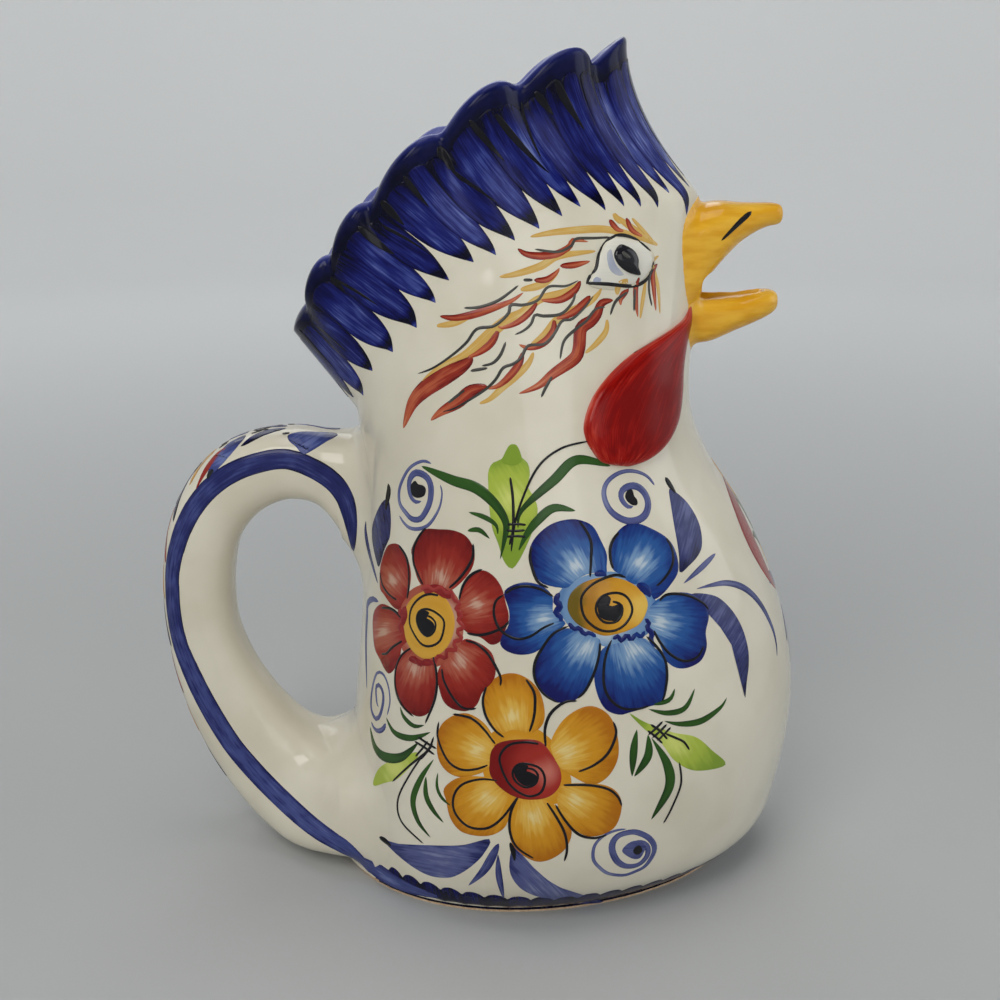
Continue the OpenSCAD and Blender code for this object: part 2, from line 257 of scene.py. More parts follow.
def blend_at(rows, t):
    """The rows of a table at places t between them, on a smooth curve through them."""
    rows = np.asarray(rows, float)
    t = np.asarray(t, float)
    last = len(rows) - 1
    i = np.minimum(t.astype(int), last - 1)
    before, here, there, after = (
        rows[np.maximum(i - 1, 0)], rows[i], rows[i + 1], rows[np.minimum(i + 2, last)]
    )
    s = (t - i)[..., None]
    return 0.5 * (
        2 * here + (there - before) * s + (2 * before - 5 * here + 4 * there - after) * s**2
        + (3 * here - before - 3 * there + after) * s**3
    )


def mix(a, b, s):
    return a + (b - a) * s


def ring_point(rows, degrees, inset=0.0, dip=0.0):
    """Places round the jug: a row holds front x and z, back x and z, half depth, arch, lean and egg."""
    front_x, front_z, back_x, back_z, deep, arch, lean, egg = np.moveaxis(np.asarray(rows), -1, 0)
    turn = np.radians(degrees)
    c, s = np.cos(turn), np.sin(turn)
    half_x, half_z = (front_x - back_x) / 2, (front_z - back_z) / 2
    run = np.hypot(half_x, half_z)
    out_run, out_deep = c / run, s / deep
    length = np.hypot(out_run, out_deep)
    rise = arch * np.abs(s) ** np.where(c > 0, ARCH_POWER_FRONT, ARCH_POWER_BACK)
    reach = run * c - inset * out_run / length
    return np.stack([
        (front_x + back_x) / 2 + half_x / run * reach - lean * rise,
        deep * s * (1 - egg * c) - inset * out_deep / length,
        (front_z + back_z) / 2 + half_z / run * reach + rise - dip,
    ], -1)


FOOT_ROW = (FOOT_FRONT, FOOT_H, -FOOT_BACK, FOOT_H, FOOT_HALF_W, 0, CROWN_LEAN_SHARE, BASE_EGG_SHARE)
BODY_ROWS = np.array([FOOT_ROW] + [
    (
        BELLY_R * s[0], mix(FOOT_H, FOREHEAD_H, s[1]), -BELLY_R * s[2], mix(FOOT_H, NAPE_H, s[3]),
        BELLY_R * s[4], CROWN_ARCH * s[5], CROWN_LEAN_SHARE,
        HEAD_EGG_SHARE * s[5] + BASE_EGG_SHARE * max(1 - (i + 1) / BASE_EGG_ROWS, 0),
    )
    for i, s in enumerate(BODY_SHARES)
])
TOP_ROW = len(BODY_ROWS) - 1
CREASE = BODY_ROWS[TOP_ROW]

lobe_ends = (0, *NOTCH_ANGLES, 180)
half_turn = np.concatenate([
    np.linspace(a, b, n, endpoint=False) for a, b, n in zip(lobe_ends, lobe_ends[1:], LOBE_STEPS)
])
TURN = np.concatenate([half_turn, [180], -half_turn[::-1]])


def pinch(degrees):
    """1 on a notch of the comb and 0 in the middle of a lobe."""
    edges = np.array([-NOTCH_ANGLES[0], *NOTCH_ANGLES, 360 - NOTCH_ANGLES[-1]], float)
    a = np.abs(degrees)
    lobe = np.clip(np.searchsorted(edges, a, side="right") - 1, 0, len(edges) - 2)
    s = (a - edges[lobe]) / (edges[lobe + 1] - edges[lobe])
    return np.abs(2 * s - 1) ** LOBE_ROUNDNESS


def comb_ring(s, inset, lift=0.0):
    """The comb's ring at a share of its height, set in from its outer face and lifted at the lip."""
    row = (
        CREASE[0] - COMB_FRONT_LEAN * (1 - (1 - s) ** LEAN_POWER),
        CREASE[1] + COMB_FRONT_H * s,
        CREASE[2] - COMB_BACK_LEAN * s,
        CREASE[3] + COMB_BACK_H * s,
        mix(CREASE[4], MOUTH_HALF_W, s) - MOUTH_HALF_W * MOUTH_WAIST_SHARE * math.sin(math.pi * s),
        mix(CROWN_ARCH, RIM_ARCH, s),
        mix(CROWN_LEAN_SHARE, RIM_LEAN_SHARE, s),
        mix(HEAD_EGG_SHARE, RIM_EGG_SHARE, s),
    )
    grip = pinch(TURN) * s**NOTCH_POWER
    thickness = mix(1, COMB_WALL / LIP_T, grip)
    return ring_point(row, TURN, inset * thickness + NOTCH_IN * grip, NOTCH_DIP * grip - lift)


def soften(rings, middle, reach, times):
    """Rounds a crease that runs along one ring of a stack, by averaging the rings near it."""
    for _ in range(times):
        mean = rings.copy()
        mean[1:-1] = (rings[:-2] + 2 * rings[1:-1] + rings[2:]) / 4
        near = 1 - np.clip(np.abs(np.arange(len(rings)) - middle) / reach, 0, 1) ** 2
        rings = mix(rings, mean, near[:, None, None])
    return rings


def body_ring(t, inset=0.0):
    return ring_point(blend_at(BODY_ROWS, t), TURN, inset)


def shrunk(ring, share):
    """A ring drawn in to a share of its size about its middle."""
    middle = ring.mean(0)
    return middle + (ring - middle) * share


foot_ring = ring_point(FOOT_ROW, TURN)
floor_ring = ring_point(FOOT_ROW, TURN, WALL * INNER_FOOT_SHARE, -FLOOR_T)
outer = [shrunk(foot_ring, s) for s in BOTTOM_SHARES]
outer += [body_ring(t) for t in np.linspace(0, TOP_ROW, OUTER_STEPS + 1)]
OUTER_CREASE = len(outer) - 1
comb_side = [comb_ring(i / COMB_STEPS, 0) for i in range(1, COMB_STEPS + 1)]
lip = [
    comb_ring(1, LIP_T / 2 * (1 - math.cos(a)), LIP_T / 2 * math.sin(a))
    for a in (math.pi * i / (LIP_STEPS + 1) for i in range(1, LIP_STEPS + 1))
]
comb_inside = [
    comb_ring(s, mix(COMB_WALL, LIP_T, s**LIP_POWER))
    for s in (1 - i / INNER_COMB_STEPS for i in range(INNER_COMB_STEPS + 1))
]
INNER_CREASE = OUTER_CREASE + len(comb_side) + len(lip) + len(comb_inside)
inner = [body_ring(t, WALL) for t in np.linspace(TOP_ROW, 1, INNER_STEPS + 1)[1:]]
inner += [floor_ring] + [shrunk(floor_ring, s) for s in reversed(BOTTOM_SHARES)]
JUG = np.array(outer + comb_side + lip + comb_inside + inner)
JUG = soften(JUG, OUTER_CREASE, CREASE_REACH, CREASE_SOFTENING)
JUG = soften(JUG, INNER_CREASE, CREASE_REACH, CREASE_SOFTENING)
for _ in range(ROUND_SOFTENING):
    across = (np.roll(JUG[:, :-1], 1, 1) + 2 * JUG[:, :-1] + np.roll(JUG[:, :-1], -1, 1)) / 4
    band = slice(OUTER_CREASE + COMB_START, INNER_CREASE - COMB_END)
    JUG[band, :-1] = across[band]
    JUG[band, -1] = JUG[band, 0]


def sheet(bm, places, uvs=None, tones=None):
    """Adds a grid to bm and moves its points to places, in millimetres, rows by columns."""
    rows, columns = places.shape[:2]
    uv_layer = bm.loops.layers.uv.verify()
    tone_layer = bm.verts.layers.float.get("tone") or bm.verts.layers.float.new("tone")
    made = bmesh.ops.create_grid(bm, x_segments=columns - 1, y_segments=rows - 1, size=0.5)["verts"]
    at = {}
    for v in made:
        j = round((v.co.x + 0.5) * (columns - 1))
        i = round((v.co.y + 0.5) * (rows - 1))
        at[v] = (i, j)
    faces = {f for v in made for f in v.link_faces}
    for v, (i, j) in at.items():
        v.co = places[i, j] * MM
        if tones is not None:
            v[tone_layer] = tones[i, j]
    if uvs is not None:
        for f in faces:
            for corner in f.loops:
                corner[uv_layer].uv = uvs[at[corner.vert]]
    return made


def weld(bm):
    bmesh.ops.remove_doubles(bm, verts=bm.verts, dist=1e-6)
    bmesh.ops.recalc_face_normals(bm, faces=bm.faces)


def worked(piece, *modifiers):
    """The piece's mesh with modifiers worked in, each given as its type and settings; the piece goes."""
    for kind, settings in modifiers:
        modifier = piece.modifiers.new(kind, kind)
        for name, value in settings.items():
            setattr(modifier, name, value)
    made = bpy.data.meshes.new_from_object(piece.evaluated_get(bpy.context.evaluated_depsgraph_get()))
    bpy.data.objects.remove(piece)
    return made


def without(cutter):
    return "BOOLEAN", {"object": cutter, "operation": "DIFFERENCE", "solver": "EXACT"}


def loft(name, rings):
    """A closed solid through rings of as many points each, in millimetres, with its ends filled in."""
    rings = np.asarray(rings)
    rings = np.concatenate([rings[:1] * 0 + rings[0].mean(0), rings, rings[:1] * 0 + rings[-1].mean(0)])
    bm = bmesh.new()
    sheet(bm, np.concatenate([rings, rings[:, :1]], 1))
    weld(bm)
    return put(name, bm)


def signed_power(v, p):
    return np.sign(v) * np.abs(v) ** p


OVAL_SIDES = 48


def oval(x, z, half_h, half_w, squareness):
    """A flat oval across X."""
    a = np.linspace(0, math.tau, OVAL_SIDES, endpoint=False)
    return np.stack([
        np.full(OVAL_SIDES, x),
        half_w * signed_power(np.cos(a), 2 / squareness),
        z + half_h * signed_power(np.sin(a), 2 / squareness),
    ], -1)


# The throat's sections: reach, height over the mouth's corner, half height and half width, as in the CAD
BEAK_LEN = 31.0
BEAK_Z = 217.0
THROAT_HALF_H = 8.0
THROAT_HALF_W = 11.0
TIP_SQUARENESS = 2.2
THROAT_ROWS = 33
SHARP_DEG = 50
FACE_X = BODY_ROWS[TOP_ROW - 2][0]
THROAT_SHARES = (
    (-0.75, 0.25, 1.10, 1.08),
    (-0.50, 0.25, 1.05, 1.04),
    (-0.25, 0.25, 1.00, 1.00),
    (-0.02, 0.25, 0.96, 0.98),
    (0.10, 0.25, 0.90, 0.92),
    (0.26, 0.25, 0.74, 0.82),
    (0.44, 0.20, 0.56, 0.66),
    (0.62, 0.15, 0.40, 0.48),
    (0.80, 0.10, 0.22, 0.30),
)


def throat():
    return loft("throat_cutter", [
        oval(FACE_X + BEAK_LEN * s[0], BEAK_Z + THROAT_HALF_H * s[1], THROAT_HALF_H * s[2],
             THROAT_HALF_W * s[3], TIP_SQUARENESS)
        for s in blend_at(THROAT_SHARES, np.linspace(0, len(THROAT_SHARES) - 1, THROAT_ROWS))
    ])


bm = bmesh.new()
ring_number = np.tile(np.arange(len(JUG), dtype=float)[:, None], (1, JUG.shape[1]))
sheet(bm, JUG, tones=ring_number)
weld(bm)
cutter = throat()
whole = worked(put("jug_whole", bm), without(cutter))
bpy.data.objects.remove(cutter)
whole.set_sharp_from_angle(angle=math.radians(SHARP_DEG))
lie = whole.attributes.new("whole_normal", "FLOAT_VECTOR", "CORNER")
lie.data.foreach_set("vector", np.array([c.vector for c in whole.corner_normals]).ravel())
COMB_FOOT = OUTER_CREASE + COMB_START


def part_of_jug(name, wanted):
    """The faces of the whole jug whose ring number is wanted, with the whole jug's own smooth shading."""
    bm = bmesh.new()
    bm.from_mesh(whole)
    tone = bm.verts.layers.float["tone"]
    far = [f for f in bm.faces if not wanted(sum(v[tone] for v in f.verts) / len(f.verts))]
    bmesh.ops.delete(bm, geom=far, context="FACES")
    piece = put(name, bm)
    mesh = piece.data
    normals = np.zeros(len(mesh.loops) * 3, np.float32)
    mesh.attributes["whole_normal"].data.foreach_get("vector", normals)
    mesh.normals_split_custom_set(normals.reshape(-1, 3))
    mesh.attributes.remove(mesh.attributes["whole_normal"])
    return piece


jug = part_of_jug("jug_skin", lambda ring: ring < COMB_FOOT or ring > INNER_CREASE)
comb = part_of_jug("ruffled_comb", lambda ring: COMB_FOOT <= ring <= INNER_CREASE)


def srgb(r, g, b):
    """A colour as an eye reads it from a picture, 0 to 255, in the shader's own scale."""
    return tuple(
        c / 3294.6 if c <= 10 else ((c / 255 + 0.055) / 1.055) ** 2.4
        for c in (r, g, b)
    )


def shader_of(tree):
    return tree.nodes["Principled BSDF"]


def coordinate(tree, kind="Object"):
    return tree.nodes.new("ShaderNodeTexCoord").outputs[kind]


def tone_of(tree):
    """The tone that each point of a piece carries."""
    made = tree.nodes.new("ShaderNodeAttribute")
    made.attribute_name = "tone"
    return made.outputs["Fac"]


def reckoned(tree, operation, *terms):
    """A math node whose terms are sockets or numbers."""
    made = tree.nodes.new("ShaderNodeMath")
    made.operation = operation
    for term, socket in zip(terms, made.inputs):
        if isinstance(term, float):
            socket.default_value = term
        else:
            tree.links.new(term, socket)
    return made.outputs[0]


def noise(tree, source, scale, size, detail):
    """A noise texture on a source socket, scaled apart along its three axes."""
    place = tree.nodes.new("ShaderNodeMapping")
    place.inputs["Scale"].default_value = scale
    tree.links.new(source, place.inputs["Vector"])
    made = tree.nodes.new("ShaderNodeTexNoise")
    made.inputs["Scale"].default_value = size
    made.inputs["Detail"].default_value = detail
    tree.links.new(place.outputs["Vector"], made.inputs["Vector"])
    return made.outputs["Fac"]


def ramp(tree, source, stops):
    """A colour ramp whose stops hold a place and a colour from 0 to 255."""
    made = tree.nodes.new("ShaderNodeValToRGB")
    made.color_ramp.interpolation = "EASE"
    elements = made.color_ramp.elements
    while len(elements) < len(stops):
        elements.new(0.5)
    for element, (at, colour) in zip(elements, stops):
        element.position = at
        element.color = (*srgb(*colour), 1)
    tree.links.new(source, made.inputs["Fac"])
    return made.outputs["Color"]


def dress(tree, colour, height, strength, distance):
    """Gives a material's shader its colour, and ripples its surface by a height."""
    bump = tree.nodes.new("ShaderNodeBump")
    bump.inputs["Strength"].default_value = strength
    bump.inputs["Distance"].default_value = distance
    tree.links.new(height, bump.inputs["Height"])
    tree.links.new(bump.outputs["Normal"], shader_of(tree).inputs["Normal"])
    tree.links.new(colour, shader_of(tree).inputs["Base Color"])


RIPPLE_SIZE = 90
RIPPLE_STRENGTH = 0.12
RIPPLE_H = 0.0006


def glaze(name, dark, light, roughness=0.1, grain=(1, 1, 1), size=28):
    """A poured glaze: two close colours that drift into each other, and a surface that ripples faintly."""
    made = plain(name, srgb(*light), roughness)
    tree = made.node_tree
    place = coordinate(tree)
    colour = ramp(tree, noise(tree, place, grain, size, 3), ((0.3, dark), (0.7, light)))
    dress(tree, colour, noise(tree, place, (1, 1, 1), RIPPLE_SIZE, 1), RIPPLE_STRENGTH, RIPPLE_H)
    return made


IVORY_DARK = (214, 207, 187)
IVORY_LIGHT = (225, 219, 201)
ivory = glaze("ivory_glaze_gloss", IVORY_DARK, IVORY_LIGHT)
jug.data.materials.append(ivory)
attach(jug, "root")
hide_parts("body")
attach(comb, "root")
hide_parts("comb")


# The comb's colour: cobalt brushed on from the rolled lip, over a ground of bare ivory at its foot. Over the
# lip's top and inside the mouth the cobalt is paler and greyer, and inside it ends a finger's breadth down.
# This is partly a thinner wash and partly painted light, standing for the sheen on the lip's top and the lit
# inner face.
# Rings from the comb's foot, and how much cobalt each carries: 0 bare, 1 full; the paler values over the lip
# and inside are partly painted sheen
COBALT_RINGS = (0, 23, 26, 40, 46, 50, 60, 74, 79, 90)
COBALT_LOADS_AND_SHEEN = (0.0, 0.0, 1.0, 1.0, 0.85, 0.5, 0.42, 0.4, 0.0, 0.0)
# The paler tones over the lip and inside the mouth are partly painted sheen and lit inner face
cobalt_and_sheen = comb.data.attributes["tone"].data
rings = np.zeros(len(cobalt_and_sheen), np.float32)
cobalt_and_sheen.foreach_get("value", rings)
cobalt_and_sheen.foreach_set("value", np.interp(rings - OUTER_CREASE, COBALT_RINGS, COBALT_LOADS_AND_SHEEN).astype(np.float32))


COBALT_STOPS = (
    (0.22, (146, 148, 186)),
    (0.45, (100, 106, 164)),
    (0.68, (36, 42, 100)),
    (0.90, (8, 12, 58)),
    (1.00, (3, 4, 32)),
)
COBALT_COVERS = (0.16, 0.26)
COBALT_GLOSS = 0.15
COBALT_ROUGHNESS = 0.12
CLOUD_SIZE = 90
CLOUD_SPREAD = 0.36


def washed_cobalt(name):
    """The ivory glaze, with a cloudy coat of cobalt over it that is as thick as the tone says."""
    made = glaze(name, IVORY_DARK, IVORY_LIGHT, COBALT_ROUGHNESS)
    tree = made.node_tree
    shader = shader_of(tree)
    shader.inputs["Specular IOR Level"].default_value = COBALT_GLOSS
    ground = shader.inputs["Base Color"].links[0].from_socket
    cloud = noise(tree, coordinate(tree), (1, 1, 0.5), CLOUD_SIZE, 4)
    drift = reckoned(tree, "MULTIPLY_ADD", cloud, CLOUD_SPREAD, -CLOUD_SPREAD / 2)
    total = reckoned(tree, "ADD", tone_of(tree), drift)
    cover = tree.nodes.new("ShaderNodeMapRange")
    tree.links.new(total, cover.inputs["Value"])
    cover.inputs["From Min"].default_value, cover.inputs["From Max"].default_value = COBALT_COVERS
    blended = tree.nodes.new("ShaderNodeMix")
    blended.data_type = "RGBA"
    tree.links.new(cover.outputs["Result"], blended.inputs["Factor"])
    tree.links.new(ground, blended.inputs["A"])
    tree.links.new(ramp(tree, total, COBALT_STOPS), blended.inputs["B"])
    tree.links.new(blended.outputs["Result"], shader.inputs["Base Color"])
    return made


comb.data.materials.append(washed_cobalt("comb_cobalt_wash"))


# The ear handle: one pulled strap of the same clay, pressed on below the nape and above the foot and
# smoothed in with slip, so that no seam shows. It spreads into a wide skirt where it meets the base.
HANDLE_REACH = 73.0
HANDLE_TOP = 166.0
HANDLE_HALF_W = 15.0
HANDLE_SQUARENESS = 2.7
SKIRT_SQUARENESS = 3.6
# Outer and inner edge (reach behind the belly, height) and width, as in the CAD
HANDLE_SHARES = (
    (-0.12, 0.990, -0.12, 0.675, 1.30),
    (0.00, 0.990, 0.015, 0.712, 1.22),
    (0.12, 0.992, 0.055, 0.768, 1.12),
    (0.27, 1.000, 0.160, 0.826, 1.04),
    (0.45, 0.994, 0.300, 0.840, 1.00),
    (0.62, 0.968, 0.425, 0.822, 1.00),
    (0.76, 0.922, 0.520, 0.788, 1.00),
    (0.87, 0.858, 0.590, 0.740, 1.00),
    (0.95, 0.776, 0.625, 0.675, 1.00),
    (0.99, 0.682, 0.637, 0.602, 1.00),
    (1.00, 0.580, 0.625, 0.530, 1.00),
    (0.98, 0.472, 0.575, 0.463, 1.00),
    (0.93, 0.362, 0.500, 0.400, 1.02),
    (0.84, 0.253, 0.400, 0.338, 1.08),
    (0.71, 0.150, 0.285, 0.285, 1.22),
    (0.54, 0.062, 0.175, 0.258, 1.52),
    (0.34, 0.020, 0.080, 0.250, 2.15),
    (0.12, 0.018, 0.000, 0.258, 2.75),
    (-0.12, 0.018, -0.12, 0.270, 3.05),
    (-0.30, 0.018, -0.30, 0.275, 3.15),
)
HANDLE_SIDES = 96
HANDLE_ROWS = 230
ROOT_ROWS = 14
ROOT_SEARCH = ((0, 5), (19, 12))
# How far the slip is smoothed out at each root: towards its top, its sides and its bottom
ROOT_SPREAD = ((7.0, 13.0, 13.0), (15.0, 15.0, 1.5))
ROOT_SAMPLES = 160
ROOT_DOWN_GAIN = 1.4
SUNK = 0.05
TRUNK_DROP = 30.0
TRUNK_RINGS = 30
TRUNK_AXIS_X = -14.0


def run_along(places):
    """How far along a line each of its places lies."""
    return np.concatenate([[0], np.cumsum(np.linalg.norm(np.diff(places, axis=0), axis=-1))])


def handle_places(t, turn):
    """Places on the handle: t runs along it in rows of the table and turn goes round it, in radians."""
    s = blend_at(HANDLE_SHARES, t)
    outer = np.stack([-BELLY_R - HANDLE_REACH * s[..., 0], HANDLE_TOP * s[..., 1]], -1)
    inner = np.stack([-BELLY_R - HANDLE_REACH * s[..., 2], HANDLE_TOP * s[..., 3]], -1)
    middle, spoke = (outer + inner) / 2, (outer - inner) / 2
    power = 2 / mix(HANDLE_SQUARENESS, SKIRT_SQUARENESS, np.clip(s[..., 4] - 1, 0, 1))
    out = signed_power(np.cos(turn), power)
    wide = signed_power(np.sin(turn), power)
    return np.stack([
        middle[..., 0] + spoke[..., 0] * out, HANDLE_HALF_W * s[..., 4] * wide,
        middle[..., 1] + spoke[..., 1] * out,
    ], -1)


def grid_tree(places):
    """A search tree over a grid of places."""
    rows, columns = places.shape[:2]
    faces = [
        (i * columns + j, i * columns + j + 1, (i + 1) * columns + j + 1, (i + 1) * columns + j)
        for i in range(rows - 1) for j in range(columns - 1)
    ]
    return BVHTree.FromPolygons([tuple(p) for p in places.reshape(-1, 3)], faces)


trunk_rings = JUG[len(BOTTOM_SHARES):OUTER_CREASE + TRUNK_RINGS]
TRUNK = grid_tree(np.concatenate([trunk_rings[:1] - (0, 0, TRUNK_DROP), trunk_rings]))


def over_trunk(place):
    """How far a place lies outside the jug's skin, with the nearest place there and the way outwards."""
    near, way, _, _ = TRUNK.find_nearest(Vector(place))
    middle = Vector((TRUNK_AXIS_X, 0, near.z))
    if way.dot(near - middle) < 0:
        way = -way
    return (Vector(place) - near).dot(way), np.array(near), np.array(way)


def handle_root(search, spread, turn):
    """One root of the handle: the table row where each line leaves the slip, and the places of the slip."""
    t = np.linspace(*search, ROOT_SAMPLES)
    lines = handle_places(t[:, None] + 0 * turn, turn[None, :] + 0 * t[:, None])
    crossing = np.zeros((len(turn), 3))
    for j in range(len(turn)):
        over = np.array([over_trunk(p)[0] for p in lines[:, j]])
        i = int(np.argmax(over > 0))
        crossing[j] = mix(lines[i - 1, j], lines[i, j], -over[i - 1] / (over[i] - over[i - 1]))
    middle = crossing.mean(0)
    top, side, bottom = spread
    downwards = 1 if t[0] < t[-1] else -1
    leave = np.zeros(len(turn))
    rows = np.zeros((ROOT_ROWS + 1, len(turn), 3))
    for j, cross in enumerate(crossing):
        way = over_trunk(cross)[2]
        aside = cross - middle
        aside -= way * aside.dot(way)
        aside /= np.linalg.norm(aside)
        if aside[2] > 0:
            k = mix(side, top, np.clip(aside[2], 0, 1) ** 2)
        else:
            k = mix(side, bottom, np.clip(-aside[2] * ROOT_DOWN_GAIN, 0, 1) ** 2)
        line = lines[:, j]
        run = run_along(line)
        here = run[int(np.argmin(np.linalg.norm(line - cross, axis=-1)))]
        leave[j] = downwards * np.interp(here + k, run, downwards * t)
        start = handle_places(leave[j], turn[j])
        _, end, end_way = over_trunk(cross + aside * k)
        end[2] = max(end[2], FOOT_H)
        for i in range(ROOT_ROWS + 1):
            s = i / ROOT_ROWS
            rows[i, j] = (1 - s) ** 2 * start + 2 * s * (1 - s) * cross + s**2 * end
        rows[-1, j] -= end_way * SUNK
    return leave, rows


turn = np.linspace(0, math.tau, HANDLE_SIDES, endpoint=False)
upper_leave, upper_slip = handle_root(ROOT_SEARCH[0], ROOT_SPREAD[0], turn)
lower_leave, lower_slip = handle_root(ROOT_SEARCH[1], ROOT_SPREAD[1], turn)
share = np.linspace(0, 1, HANDLE_ROWS)[:, None]
strap = handle_places(mix(upper_leave, lower_leave, share), turn[None, :] + 0 * share)
HANDLE = np.concatenate([upper_slip[::-1], strap[1:-1], lower_slip])
HANDLE = np.concatenate([HANDLE, HANDLE[:, :1]], 1)
bm = bmesh.new()
sheet(bm, HANDLE)
weld(bm)
handle = put("ear_handle", bm, ivory)
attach(handle, "root")
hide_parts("handle")


# The open beak: two solid horns of clay pressed on round the throat's hole, their roots smoothed into the
# head, all in golden glaze.
BEAK_RISE = 33.0
BEAK_FALL = 20.0
BEAK_HALF_W = 25.0
ROOT_SQUARENESS = 3.0
# Reach, top, bottom and half width, as in the CAD but for the slimmer root
UPPER_BEAK_SHARES = (
    (-0.42, 0.88, -0.20, 0.82),
    (-0.06, 0.92, -0.18, 0.73),
    (0.06, 0.95, 0.00, 0.68),
    (0.16, 0.97, 0.18, 0.63),
    (0.30, 0.98, 0.34, 0.57),
    (0.48, 0.965, 0.51, 0.44),
    (0.66, 0.96, 0.63, 0.34),
    (0.82, 0.96, 0.70, 0.27),
    (0.93, 0.95, 0.72, 0.21),
    (0.99, 0.92, 0.75, 0.14),
)
LOWER_BEAK_SHARES = (
    (-0.42, 0.30, 0.80, 0.64),
    (-0.06, 0.20, 0.88, 0.62),
    (0.06, 0.00, 0.91, 0.60),
    (0.20, -0.03, 0.88, 0.57),
    (0.34, -0.03, 0.80, 0.53),
    (0.50, -0.02, 0.70, 0.46),
    (0.66, 0.02, 0.60, 0.40),
    (0.82, 0.04, 0.49, 0.33),
    (0.92, 0.02, 0.40, 0.25),
    (0.98, -0.03, 0.32, 0.15),
)
BEAK_VOXEL = 0.00055
BEAK_SMOOTHING = 10
MOUTH_CORNER_XZ = (47.2, 221.0)
MOUTH_CORNER_R = 3.7
MOUTH_CORNER_HALF_W = 32.0
BEAK_ROOT_SUNK = 3.0
BEAK_FILLET_R = 3.6
FILLET_LEAST_ASIDE = 0.2
HORN_ROWS = 64
CORNER_SIDES = 64
CORE_ROWS = 50
CORE_FIRST_ROW = 9
CORE_COMB_SHARES = (0.1, 0.2, 0.3)


def beak_half(name, shares, falls):
    """One horn of the beak: its heights hang from the mouth's corner by the rise, or by the fall."""
    sections = []
    for reach, top, bottom, wide in blend_at(shares, np.linspace(0, len(shares) - 1, HORN_ROWS)):
        high = BEAK_Z + (BEAK_FALL if falls else BEAK_RISE) * top
        low = BEAK_Z - BEAK_FALL * bottom if falls else BEAK_Z + BEAK_RISE * bottom
        sections.append(oval(
            FACE_X + BEAK_LEN * reach, (high + low) / 2, (high - low) / 2, BEAK_HALF_W * wide,
            mix(ROOT_SQUARENESS, TIP_SQUARENESS, min(max(reach * 2, 0), 1)),
        ))
    return loft(name, sections)


a = np.linspace(0, math.tau, CORNER_SIDES, endpoint=False)
mouth_corner = loft("mouth_corner", [
    np.stack([
        MOUTH_CORNER_XZ[0] + MOUTH_CORNER_R * np.cos(a), np.full(len(a), y),
        MOUTH_CORNER_XZ[1] + MOUTH_CORNER_R * np.sin(a),
    ], -1)
    for y in (-MOUTH_CORNER_HALF_W, MOUTH_CORNER_HALF_W)
])
lower_horn = beak_half("lower_horn", LOWER_BEAK_SHARES, True)
waterway = throat()
head_core = loft("head_core", [
    *(body_ring(t, BEAK_ROOT_SUNK)[:-1] for t in np.linspace(CORE_FIRST_ROW, TOP_ROW, CORE_ROWS)),
    *(comb_ring(s, BEAK_ROOT_SUNK)[:-1] for s in CORE_COMB_SHARES),
])
mesh = worked(
    beak_half("upper_horn", UPPER_BEAK_SHARES, False),
    ("BOOLEAN", {"object": lower_horn, "operation": "UNION", "solver": "EXACT"}),
    without(waterway),
    without(mouth_corner),
    without(head_core),
    ("REMESH", {"mode": "VOXEL", "voxel_size": BEAK_VOXEL}),
    ("SMOOTH", {"factor": 0.5, "iterations": BEAK_SMOOTHING}),
)
for helper in (lower_horn, waterway, mouth_corner, head_core):
    bpy.data.objects.remove(helper)
bm = bmesh.new()
bm.from_mesh(mesh)
bm.normal_update()
for v in bm.verts:
    over, near, way = over_trunk(v.co / MM)
    if over < BEAK_FILLET_R:
        aside = v.normal - Vector(way) * v.normal.dot(Vector(way))
        from_mouth = Vector((0, v.co.y, v.co.z - BEAK_Z * MM))
        if aside.length > FILLET_LEAST_ASIDE and aside.dot(from_mouth) > 0:
            depth = 1 - min(max(over / BEAK_FILLET_R, 0), 1)
            v.co += aside.normalized() * BEAK_FILLET_R * (1 - math.sqrt(1 - depth**2)) * MM * aside.length
bmesh.ops.smooth_vert(bm, verts=bm.verts, factor=0.5, use_axis_x=True, use_axis_y=True, use_axis_z=True)
beak = put("open_beak", bm)
golden = glaze("golden_glaze_gloss", (222, 160, 26), (238, 184, 54), 0.12, (0.3, 0.7, 1.6), 200)
beak.data.materials.append(golden)
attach(beak, "root")
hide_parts("upper_beak", "lower_beak")


# The wattles: two flat drops of clay pressed on below the beak's corners, with a soft raised body and a
# rounded rim. Their dark red glaze was brushed on in streaks that run together at the tip. Along the rim the
# red is painted paler, a painted highlight on the edge, and it is darkest on the crown.
# Rows of the body and angles at the two edges, and rise. As in the CAD, but the front edge and tip follow
# the photograph, and both ends are drawn to a point.
WATTLE_RISE = 5.0
WATTLE_SHARES = (
    (12.27, 15.0, 12.27, 15.3, 0.00),
    (12.14, 15.6, 12.17, 17.2, 0.15),
    (11.75, 19.0, 11.98, 23.0, 0.45),
    (11.45, 23.0, 11.89, 31.5, 0.65),
    (11.06, 25.8, 11.80, 43.0, 0.80),
    (10.70, 27.0, 11.69, 52.5, 0.90),
    (10.28, 27.2, 11.43, 61.0, 1.00),
    (9.90, 28.4, 11.08, 66.8, 1.00),
    (9.56, 31.4, 10.61, 69.8, 0.98),
    (9.30, 36.4, 10.22, 69.5, 0.92),
    (9.14, 42.4, 9.87, 67.8, 0.80),
    (9.08, 49.0, 9.54, 65.5, 0.58),
    (9.12, 55.5, 9.32, 61.5, 0.25),
    (9.20, 58.2, 9.23, 59.0, 0.00),
)
RIM_SUNK = 0.15
# Millimetres of brushwork from row to row and from edge to edge
RELIEF_GRAIN = (8, 30)
SIDES = (("left", 1), ("right", -1))


def face_out(bm):
    """Turns each face of thin clay or paint away from the jug's middle."""
    bm.normal_update()
    turned = [f for f in bm.faces if f.normal.dot(Vector(over_trunk(f.calc_center_median() / MM)[2])) < 0]
    bmesh.ops.reverse_faces(bm, faces=turned)


